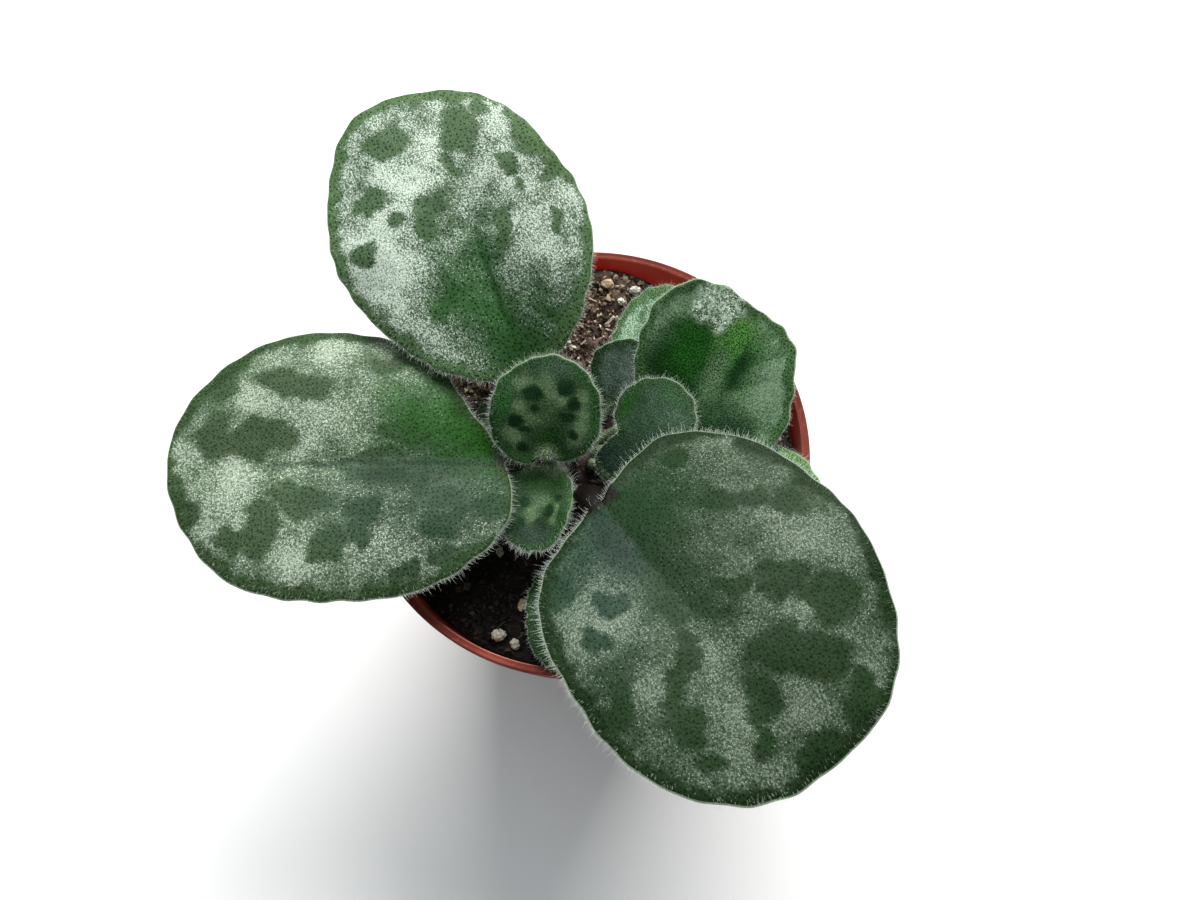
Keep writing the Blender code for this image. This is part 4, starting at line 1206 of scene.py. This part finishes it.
def fringe_hairs(leaf, rng):
    """The margin's fringe: many short hairs and some long, curly ones."""
    perimeter = outline_radius(leaf, np.linspace(0, TAU, 200)).mean() * TAU
    angles, lengths, radii = [], [], []
    for each_mm, low, high, radius in FRINGE:
        count = int(perimeter * each_mm)
        angles.append((np.arange(count) + rng.uniform(0, 0.9, count)) * TAU / count)
        lengths.append(leaf.hairs[2] * rng.uniform(low, high, count))
        radii.append(np.full(count, radius))
    angle, lengths, radii = np.concatenate(angles), np.concatenate(lengths), np.concatenate(radii)
    count = len(angle)
    along, across = blade_spot(leaf, angle, outline_radius(leaf, angle))
    height = face_height(leaf, along, across) - EDGE_THICKNESS * rng.uniform(0.1, 0.7, count)
    if leaf.length > OLD_LENGTH:
        lengths = lengths * (1.25 - 0.40 * np.clip(along / leaf.length, 0.0, 1.0))
    rise = leaf_axes(leaf)[2] * rng.uniform(*FRINGE_RISE, (count, 1))
    ways = outward_ways(leaf, angle) + rise + rng.normal(0, FRINGE_STRAY, (count, 3))
    roots = to_world(leaf, along, across, height)
    return hairs_mesh(leaf.name + "_fringe", roots, ways, lengths, radii, 1.0, FRINGE_BEND, rng, 4)


def build_leaf(leaf, hair, seed):
    """The blade joined with its stalk, and its hairs."""
    rng = np.random.default_rng(seed)
    blade = add_object(leaf.name + "_blade", blade_mesh(leaf))
    stalk_mesh = make_mesh(leaf.name + "_stalk", *tube(*stalk_path(leaf), STALK_SIDES))
    outward(stalk_mesh)
    mesh = boolean(blade, "Stalk", "UNION", add_object(leaf.name + "_stalk", stalk_mesh))
    mesh.materials.clear()
    mesh.materials.append(leaf_material(leaf))
    upper, stalk, edge = paint_leaf(leaf, mesh)
    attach(blade, "root")
    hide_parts(leaf.name)
    for hairs in (*face_hairs(leaf, mesh, upper, stalk, edge, rng), fringe_hairs(leaf, rng)):
        item = add_object(hairs.name, hairs, hair)
        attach(item, "root")


# ---------------------------------------------------------------- pot

def outer_wall_radius(height):
    """The tapered wall's outer radius, below the band."""
    top_radius = INNER_TOP + WALL - BAND_DRAFT - BAND_STEP
    return BASE_RADIUS + (top_radius - BASE_RADIUS) * height / BAND_FOOT


def floor_rings(gap):
    """The inside of the floor, outwards: the pad, up over the drain channel, and down at the foot ring."""
    top = CHANNEL_RISE + FLOOR + gap
    low = FLOOR + gap
    inner = PAD_RADIUS - WALL - gap
    outer = BASE_RADIUS - BASE_CHAMFER - FOOT_WIDTH + WALL + gap
    return [(inner, low), (inner + CHANNEL_SLOPE, top), (outer - CHANNEL_SLOPE, top), (outer, low)]


def arc(radius, height, size, start, end, count):
    """Points of a section's arc, about the middle of its circle."""
    turns = np.linspace(start, end, count)
    return [(radius + size * math.cos(turn), height + size * math.sin(turn)) for turn in turns]


def pot_profile():
    """The wall's section, from the middle of the floor up the inside, over the lip with its ridge, groove and
    bead, and down to the underside."""
    ridge_height = POT_HEIGHT - LIP_RIDGE - LIP_RIDGE_DROP
    foot_inside = BASE_RADIUS - BASE_CHAMFER - FOOT_WIDTH
    inside = rounded([
        (0.0, FLOOR),
        *floor_rings(0.0),
        (outer_wall_radius(FLOOR) - WALL, FLOOR),
        (outer_wall_radius(BAND_FOOT) - WALL, BAND_FOOT),
        (INNER_FOOT, BAND_FOOT + BAND_STEP),
        (INNER_TOP, ridge_height),
    ], CORNER_ROUND)
    ridge = arc(INNER_TOP + LIP_RIDGE, ridge_height, LIP_RIDGE, math.pi, math.pi / 3, 8)[1:]
    bead = arc(LIP_RADIUS - LIP_BEAD, POT_HEIGHT - LIP_BEAD, LIP_BEAD, math.pi * 2 / 3, 0.0, 9)[:-1]
    outside = rounded([
        (LIP_RADIUS, POT_HEIGHT - LIP_BEAD),
        (LIP_RADIUS, POT_HEIGHT - LIP_DROP),
        (INNER_TOP + WALL, POT_HEIGHT - LIP_DROP),
        (INNER_FOOT + WALL, BAND_FOOT),
        (outer_wall_radius(BAND_FOOT), BAND_FOOT - BAND_STEP),
        (outer_wall_radius(BASE_CHAMFER), BASE_CHAMFER),
        (BASE_RADIUS - BASE_CHAMFER, 0.0),
        (foot_inside, 0.0),
        (foot_inside - CHANNEL_SLOPE, CHANNEL_RISE),
        (PAD_RADIUS + CHANNEL_SLOPE, CHANNEL_RISE),
        (PAD_RADIUS, 0.0),
        (0.0, 0.0),
    ], EDGE_ROUND)
    return inside + ridge + bead + outside


def pot_material():
    """Thin terracotta-coloured plastic: flow marks, specks and fine scratches; paler inside, as a painted glow of
    the light that comes through the wall, on top of the subsurface light carried through it; with dust just above
    the mix."""
    n = Nodes("pot_plastic")
    own = n.own()
    inside = n.attribute("inside", "Fac")
    flow = n.ramp(n.noise(n.stretched(own, (1.0, 1.0, 0.18)), 0.006, 3.0), 0.3, 0.7)
    scratch = n.noise(n.stretched(own, (1.0, 1.0, 9.0)), 0.004, 3.0)
    speck = n.noise(own, 0.0007, 2.0)
    colour = n.mix(n.ramp(speck, 0.60, 0.72, 0.0, 0.30), n.mix(flow, *POT_OUTSIDE), POT_SPECK)
    # Painted glow: paler on the inside, for light coming through the wall
    colour = n.mix(inside, colour, n.mix(flow, *POT_INSIDE_PAINTED_GLOW))
    height = n.add("ShaderNodeSeparateXYZ", {0: own}).outputs[2]
    low = n.times(n.ramp(height, *DUST_HEIGHTS, 1.0, 0.0), inside)
    dust = n.times(low, n.ramp(n.noise(own, 0.0025, 4.0), 0.45, 0.65))
    colour = n.mix(n.times(dust, 0.7), colour, POT_DUST)
    relief = n.math("ADD", scratch, n.times(speck, 0.4))
    return n.finish(base_color=colour, roughness=n.ramp(scratch, 0.3, 0.7, 0.45, 0.62), specular_ior_level=0.08,
                    subsurface_weight=n.times(inside, 0.7), subsurface_scale=0.006,
                    subsurface_radius=(1.0, 0.25, 0.18), normal=n.bump(relief, 0.00006, 0.45))


def inner_share(mesh):
    """1 on the inside of the band, above the mix, and 0 elsewhere."""
    points = points_of(mesh)
    middles = (INNER_FOOT + WALL / 2, INNER_TOP + LIP_RIDGE / 2)
    middle = np.interp(points[:, 2], (BAND_FOOT, POT_HEIGHT), middles)
    return (np.hypot(points[:, 0], points[:, 1]) < middle) & (points[:, 2] > BAND_FOOT)


def build_pot():
    pot = turned("pot", pot_profile(), POT_SEGMENTS, pot_material())
    holes = bmesh.new()
    for i in range(DRAIN_COUNT):
        turn = TAU * (i + 0.5) / DRAIN_COUNT
        made = bmesh.ops.create_cone(holes, cap_ends=True, segments=DRAIN_SEGMENTS, radius1=DRAIN_RADIUS * MM,
                                     radius2=DRAIN_RADIUS * MM, depth=4 * FLOOR * MM)
        place = Vector((DRAIN_CIRCLE * math.cos(turn), DRAIN_CIRCLE * math.sin(turn), CHANNEL_RISE)) * MM
        bmesh.ops.translate(holes, verts=made["verts"], vec=place)
    mesh = bpy.data.meshes.new("drain_holes")
    holes.to_mesh(mesh)
    holes.free()
    mesh = boolean(pot, "Drain", "DIFFERENCE", add_object("drain_holes", mesh))
    mesh.set_sharp_from_angle(angle=math.radians(SHARP_ANGLE))
    set_values(mesh, "inside", inner_share(mesh))
    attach(pot, "root")
    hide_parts("nursery_pot")


# ---------------------------------------------------------------- potting mix

def soil_height(x, y):
    turn_x, turn_y = RIPPLE_TURNS
    height = SOIL_LEVEL + RIPPLE * np.sin(x / RIPPLE_LENGTH + turn_x) * np.cos(y / RIPPLE_LENGTH + turn_y)
    for mound_x, mound_y, rise, spread in MOUNDS:
        height = height + rise * np.exp(-((x - mound_x) ** 2 + (y - mound_y) ** 2) / spread ** 2)
    return height


def mix_material():
    """Dark peat and bark crumbs, coloured grain by grain, with painted shade in the hollows of their fine bumps.
    """
    n = Nodes("potting_mix")
    tint = n.attribute("tint", "Color")
    fine = n.noise(n.own(), 0.0005, 4.0)
    # Painted shade: darker where the fine bump is low
    colour = n.mix(n.ramp(fine, 0.25, 0.8, 0.25, 1.0), n.shaded(tint, HOLLOW_SHADE), tint)
    return n.finish(base_color=colour, roughness=0.85, specular_ior_level=0.25,
                    normal=n.bump(fine, 0.0003, 0.8))


def painted_front_shade(y):
    """Painted shade on the mix: a factor that darkens it most in front and fades out towards the back."""
    return FRONT_SHADE_LEAST + (1 - FRONT_SHADE_LEAST) * smooth_step(*FRONT_SHADE_RANGE, y) ** FRONT_SHADE_POWER


def grain_colours(x, y, rng):
    """Each grain's colour, darkened in front by painted shade; more bark brown and tan ones by the wall at the
    back.
    """
    count = len(y)
    chosen = rng.choice(len(GRAIN_COLOURS), count, p=GRAIN_SHARES)
    by_wall = smooth_step(*WALL_STRIP, np.hypot(x, y)) * smooth_step(*BACK_STRIP, y)
    pale = rng.uniform(0, 1, count) < PALE_SHARE * by_wall
    chosen = np.where(pale, rng.integers(1, 4, count), chosen)
    return np.array(GRAIN_COLOURS)[chosen] * rng.uniform(*GRAIN_SHADES, (count, 1)) * painted_front_shade(y)[:, None]


def build_bed(material):
    """The mix as one lump that fills the pot, its top rough."""
    inner = INNER_FOOT - SOIL_GAP
    turns = np.arange(BED_SEGMENTS) * TAU / BED_SEGMENTS
    rings = []
    for radius in np.linspace(0.01, 1.0, BED_RINGS) * inner:
        ring = circle(radius, turns, 0.0)
        rough = sum(rise * noise_at(ring, size, seed) for seed, (rise, size) in enumerate(BED_ROUGHNESS, 11))
        ring[:, 2] = soil_height(ring[:, 0], ring[:, 1]) + rough * min(1.0, (inner - radius) / 2 + 0.3)
        rings.append(ring)
    foot = outer_wall_radius(FLOOR) - WALL - 3 * SOIL_GAP
    below = [
        (inner, BAND_FOOT + BAND_STEP + SOIL_GAP),
        (outer_wall_radius(BAND_FOOT) - WALL - SOIL_GAP, BAND_FOOT),
        (foot, FLOOR + 4 * SOIL_GAP),
        (foot - 3 * SOIL_GAP, FLOOR + SOIL_GAP),
        *reversed(floor_rings(SOIL_GAP)),
    ]
    rings.extend(circle(radius, turns, height) for radius, height in below)
    points = np.concatenate(rings)
    faces = ring_faces(len(rings), BED_SEGMENTS)
    faces.append(tuple(range(BED_SEGMENTS)))
    faces.append(tuple(reversed(range(len(points) - BED_SEGMENTS, len(points)))))
    mesh = make_mesh("mix_bed", points, faces)
    outward(mesh)
    fine = noise_at(points, 1.3, 13)
    # Painted shade: the bed's brown is darkened towards the front
    tint = np.array(BED_BROWN) * ((1.2 + 0.9 * fine) * painted_front_shade(points[:, 1]))[:, None]
    set_colours(mesh, "tint", np.clip(tint, 0.004, 1.0))
    return add_object("mix_bed", mesh, material)


def rotation(angle, axis):
    return Matrix.Rotation(angle, 3, axis)


def scattered(name, template, count, middle_size, factors, tilt, material, rng):
    """Rough little lumps lying over the mix, made from a template's points and faces. factors: the least and
    the most of each side, against the lump's size. tilt: how far each may lean."""
    shape, faces = template
    inner = INNER_FOOT - GRAIN_MARGIN
    away = inner * np.sqrt(rng.uniform(0, 1, count))
    turn = rng.uniform(0, TAU, count)
    smallest, largest = (factor * middle_size for factor in GRAIN_EXTREMES)
    size = rng.lognormal(math.log(middle_size), GRAIN_SPREAD, count).clip(smallest, largest)
    away = np.minimum(away, inner - size * max(factors[1]))
    places = circle(away, turn, 0.0)
    places[:, 2] = soil_height(places[:, 0], places[:, 1]) + size * rng.uniform(0.0, GRAIN_RISE, count)
    blocks = []
    for place, scale in zip(places, size):
        lump = shape * rng.uniform(*GRAIN_UNEVEN, (len(shape), 1)) * rng.uniform(*factors) * scale
        lean = rotation(rng.uniform(-tilt, tilt), "X") @ rotation(rng.uniform(-tilt, tilt), "Y")
        turned_lump = lump @ np.array(rotation(rng.uniform(0, TAU), "Z") @ lean).T
        blocks.append(turned_lump + place)
    mesh = make_mesh(name, np.concatenate(blocks), copied_faces(faces, count, len(shape)))
    colours = grain_colours(places[:, 0], places[:, 1], rng)
    set_colours(mesh, "tint", np.repeat(colours, len(shape), axis=0))
    item = add_object(name, mesh, material)
    mesh.shade_flat()
    return item


def template_of(make, **settings):
    """Points and faces of one of Blender's own shapes."""
    shape = bmesh.new()
    make(shape, **settings)
    points = np.array([vert.co for vert in shape.verts])
    faces = [[vert.index for vert in face.verts] for face in shape.faces]
    shape.free()
    return points, faces


def build_fibres(material, rng):
    """Fine root and peat fibres lying on the mix."""
    points, faces, colours = [], [], []
    start = 0
    inner = INNER_FOOT - FIBRE_MARGIN
    for _ in range(FIBRE_COUNT):
        away = inner * math.sqrt(rng.uniform(0, 1))
        turn = rng.uniform(0, TAU)
        way = rng.uniform(0, TAU)
        place = np.array((away * math.cos(turn), away * math.sin(turn)))
        path = []
        for _ in range(FIBRE_POINTS):
            path.append((*place, soil_height(*place) + FIBRE_RISE + rng.uniform(0.0, FIBRE_LIFT)))
            way += rng.normal(0, FIBRE_BEND)
            step = rng.uniform(*FIBRE_STEP)
            place = place + step * np.array((math.cos(way), math.sin(way)))
            place *= min(1.0, inner / np.hypot(*place))
        radii = [FIBRE_RADIUS] * FIBRE_POINTS
        made, sides = tube(path, radii, radii, 4)
        points.append(made)
        faces.extend(tuple(k + start for k in face) for face in sides)
        start += len(made)
        colours.append(np.tile(np.array(FIBRE_BROWN) * rng.uniform(*FIBRE_SHADES), (len(made), 1)))
    mesh = make_mesh("mix_fibres", np.concatenate(points), faces)
    outward(mesh)
    set_colours(mesh, "tint", np.concatenate(colours))
    return add_object("mix_fibres", mesh, material)


def build_mix(rng):
    material = mix_material()
    bed = build_bed(material)
    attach(bed, "root")
    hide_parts("potting_mix")
    crumb = template_of(bmesh.ops.create_uvsphere, u_segments=4, v_segments=2, radius=1.0)
    chip = template_of(bmesh.ops.create_cube, size=1.6)
    crumbs = scattered("mix_crumbs", crumb, GRAIN_COUNT, GRAIN_SIZE, GRAIN_FACTORS, math.pi, material, rng)
    chips = scattered("mix_chips", chip, CHIP_COUNT, CHIP_SIZE, CHIP_FACTORS, CHIP_TILT, material, rng)
    for item in (crumbs, chips, build_fibres(material, rng)):
        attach(item, "root")


def perlite_material():
    """Chalky white, tan in its creases, and darkened towards the front of the pot as painted shade."""
    n = Nodes("perlite")
    own = n.own()
    rough = n.noise(own, 0.0006, 5.0, 0.65)
    colour = n.mix(n.ramp(rough, 0.3, 0.62), *PERLITE_COLOURS)
    colour = n.mix(n.attribute("crease", "Fac"), colour, PERLITE_CREASE)
    depth = n.add("ShaderNodeSeparateXYZ", {0: own}).outputs[1]
    # Painted shade: darker towards the front of the pot
    colour = n.mix(n.ramp(depth, -0.05, 0.02, 0.45, 1.0), n.shaded(colour, PERLITE_FRONT_SHADE), colour)
    return n.finish(base_color=colour, roughness=0.8, normal=n.bump(rough, 0.0003, 0.8))


def bark_material():
    n = Nodes("bark")
    grain = n.noise(n.stretched(n.own(), (0.3, 1.5, 1.5)), 0.0007, 4.0)
    return n.finish(base_color=n.mix(n.ramp(grain, 0.3, 0.7), *BARK_COLOURS), roughness=0.8,
                    normal=n.bump(grain, 0.0003, 0.8))


def nodules(points, size, seed):
    """Round bumps of this size: 1 on top of each, falling towards the creases between them."""
    shift = noise_shift(seed)
    return np.array([1.0 - noise.voronoi(Vector(point) / size + shift)[0][0] for point in points])


def chipped(points, seed):
    """A ball cut back by flat faces at random, like a splinter of bark."""
    rng = np.random.default_rng(seed)
    for way in rng.normal(size=(BARK_CUTS, 3)):
        way /= np.linalg.norm(way)
        beyond = np.maximum(points @ way - rng.uniform(*BARK_DEPTHS), 0.0)
        points = points - 0.95 * beyond[:, None] * way
    return points * 1.12


def build_lump(node, kind, material, seed):
    """A crumbly lump in the space of its solid."""
    low, high = (np.array(corner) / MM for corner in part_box(node))
    ball, faces = template_of(bmesh.ops.create_icosphere, subdivisions=4, radius=1.0)
    if kind == "perlite":
        bumps, small = (nodules(ball, size, seed + i) for i, size in enumerate(NODULE_SIZES))
        swell = 0.62 + 0.42 * bumps + 0.16 * small + 0.10 * noise_at(ball, 0.17, seed + 2)
        crease = smooth_step(0.55, 0.25, bumps) + 0.5 * smooth_step(0.5, 0.2, small)
    else:
        ball = chipped(ball, seed)
        swell = 1.0 + 0.10 * noise_at(ball, 0.36, seed + 1) + 0.06 * noise_at(ball, 0.15, seed + 2)
        crease = np.zeros(len(ball))
    mesh = make_mesh(node + "_lump", (low + high) / 2 + ball * swell[:, None] * (high - low) / 2, faces)
    set_values(mesh, "crease", np.clip(crease, 0.0, 0.9))
    item = add_object(node + "_lump", mesh, material)
    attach(item, "root")
    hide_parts(node)


# ---------------------------------------------------------------- stem

def stem_material():
    n = Nodes("stem")
    rough = n.noise(n.own(), 0.0012, 4.0)
    return n.finish(base_color=n.mix(n.ramp(rough, 0.3, 0.7), *STEM_COLOURS), roughness=0.65,
                    normal=n.bump(rough, 0.0005, 0.7))


def build_stem(hair, rng):
    """The short crown: ringed with leaf scars, its top hairy."""
    side = STEM_RADIUS - 0.2
    profile = [(0.0, STEM_TOP), (STEM_RADIUS - 1.0, STEM_TOP - 0.1), (side, STEM_TOP - 0.9)]
    for height in np.arange(STEM_TOP - 1.6, STEM_FOOT + 3, -SCAR_PITCH):
        profile.append((side + SCAR_DEPTH * math.sin(height * 3.1), height))
    profile += [(STEM_RADIUS * 0.7, STEM_FOOT + 1), (STEM_RADIUS * 0.5, STEM_FOOT), (0.0, STEM_FOOT)]
    stem = turned("crown", profile, 40, stem_material())
    mesh = stem.data
    mesh.transform(Matrix.Translation(Vector((*STEM_PLACE, 0.0)) * MM))
    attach(stem, "root")
    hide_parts("crown_stem")
    weights = smooth_step(SOIL_LEVEL, SOIL_LEVEL + 3.0, points_of(mesh)[:, 2])
    places, ups = surface_samples(mesh, weights, CROWN_HAIRS, rng)
    count = len(places)
    ways = ups + rng.normal(0, CROWN_STRAY, places.shape) + np.array((0.0, 0.0, 0.4))
    lengths = rng.uniform(*CROWN_LENGTHS, count)
    pale = rng.uniform(*CROWN_WHITE, count)
    tuft = hairs_mesh("crown_hairs", places, ways, lengths, CROWN_RADIUS, pale, CROWN_BEND, rng)
    item = add_object("crown_hairs", tuft, hair)
    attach(item, "root")


# ---------------------------------------------------------------- stage

def build_floor():
    shape = bmesh.new()
    bmesh.ops.create_grid(shape, x_segments=1, y_segments=1, size=FLOOR_SIZE)
    mesh = bpy.data.meshes.new("floor")
    shape.to_mesh(mesh)
    shape.free()
    n = Nodes("floor")
    colour = n.mix(n.noise(n.own(), 0.03, 3.0), *FLOOR_COLOURS)
    floor = add_object("floor", mesh, n.finish(base_color=colour, roughness=0.7))
    floor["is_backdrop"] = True


def area_light(name, place, sides, watts, colour):
    lamp = bpy.data.lights.new(name, "AREA")
    lamp.shape = "RECTANGLE"
    lamp.size, lamp.size_y = sides
    lamp.energy = watts
    lamp.color = colour
    item = bpy.data.objects.new(name, lamp)
    bpy.context.scene.collection.objects.link(item)
    item.location = place
    item.rotation_euler = (Vector(LAMP_AIM) - Vector(place)).to_track_quat("-Z", "Y").to_euler()


def build_light():
    for name, settings in LAMPS.items():
        area_light(name, *settings)
    world = bpy.data.worlds.new("studio")
    bpy.context.scene.world = world
    world.use_nodes = True
    background = world.node_tree.nodes["Background"]
    background.inputs["Color"].default_value = WORLD_COLOUR
    background.inputs["Strength"].default_value = WORLD_STRENGTH


def build_camera():
    sight = Vector(CAMERA_SIGHT).normalized()
    right = Vector(CAMERA_RIGHT).normalized()
    up = right.cross(sight).normalized()
    data = bpy.data.cameras.new("camera")
    data.lens = CAMERA_LENS
    data.sensor_width = CAMERA_SENSOR
    data.clip_start = CLIP_START
    camera = bpy.data.objects.new("camera", data)
    bpy.context.scene.collection.objects.link(camera)
    turn = Matrix((right, up, -sight)).transposed().to_4x4()
    camera.matrix_world = Matrix.Translation(Vector(CAMERA_PLACE)) @ turn
    bpy.context.scene.camera = camera


def main():
    rng = np.random.default_rng(7)
    hair = hair_material()
    build_camera()
    build_light()
    build_floor()
    build_pot()
    build_mix(rng)
    build_stem(hair, rng)
    materials = {"perlite": perlite_material(), "bark": bark_material()}
    for seed, node in enumerate(LUMPS):
        kind = node.split("_")[0]
        build_lump(node, kind, materials[kind], 20 + 2 * seed)
    for seed, leaf in enumerate(LEAVES):
        build_leaf(leaf, hair, 100 + seed)
    bpy.context.scene.view_settings.view_transform = "Standard"


main()
bpy.context.view_layer.update()
boxes = {"cad": cad_box, "visual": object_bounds()}
sizes = {key: [list(corner) for corner in box] for key, box in boxes.items()}
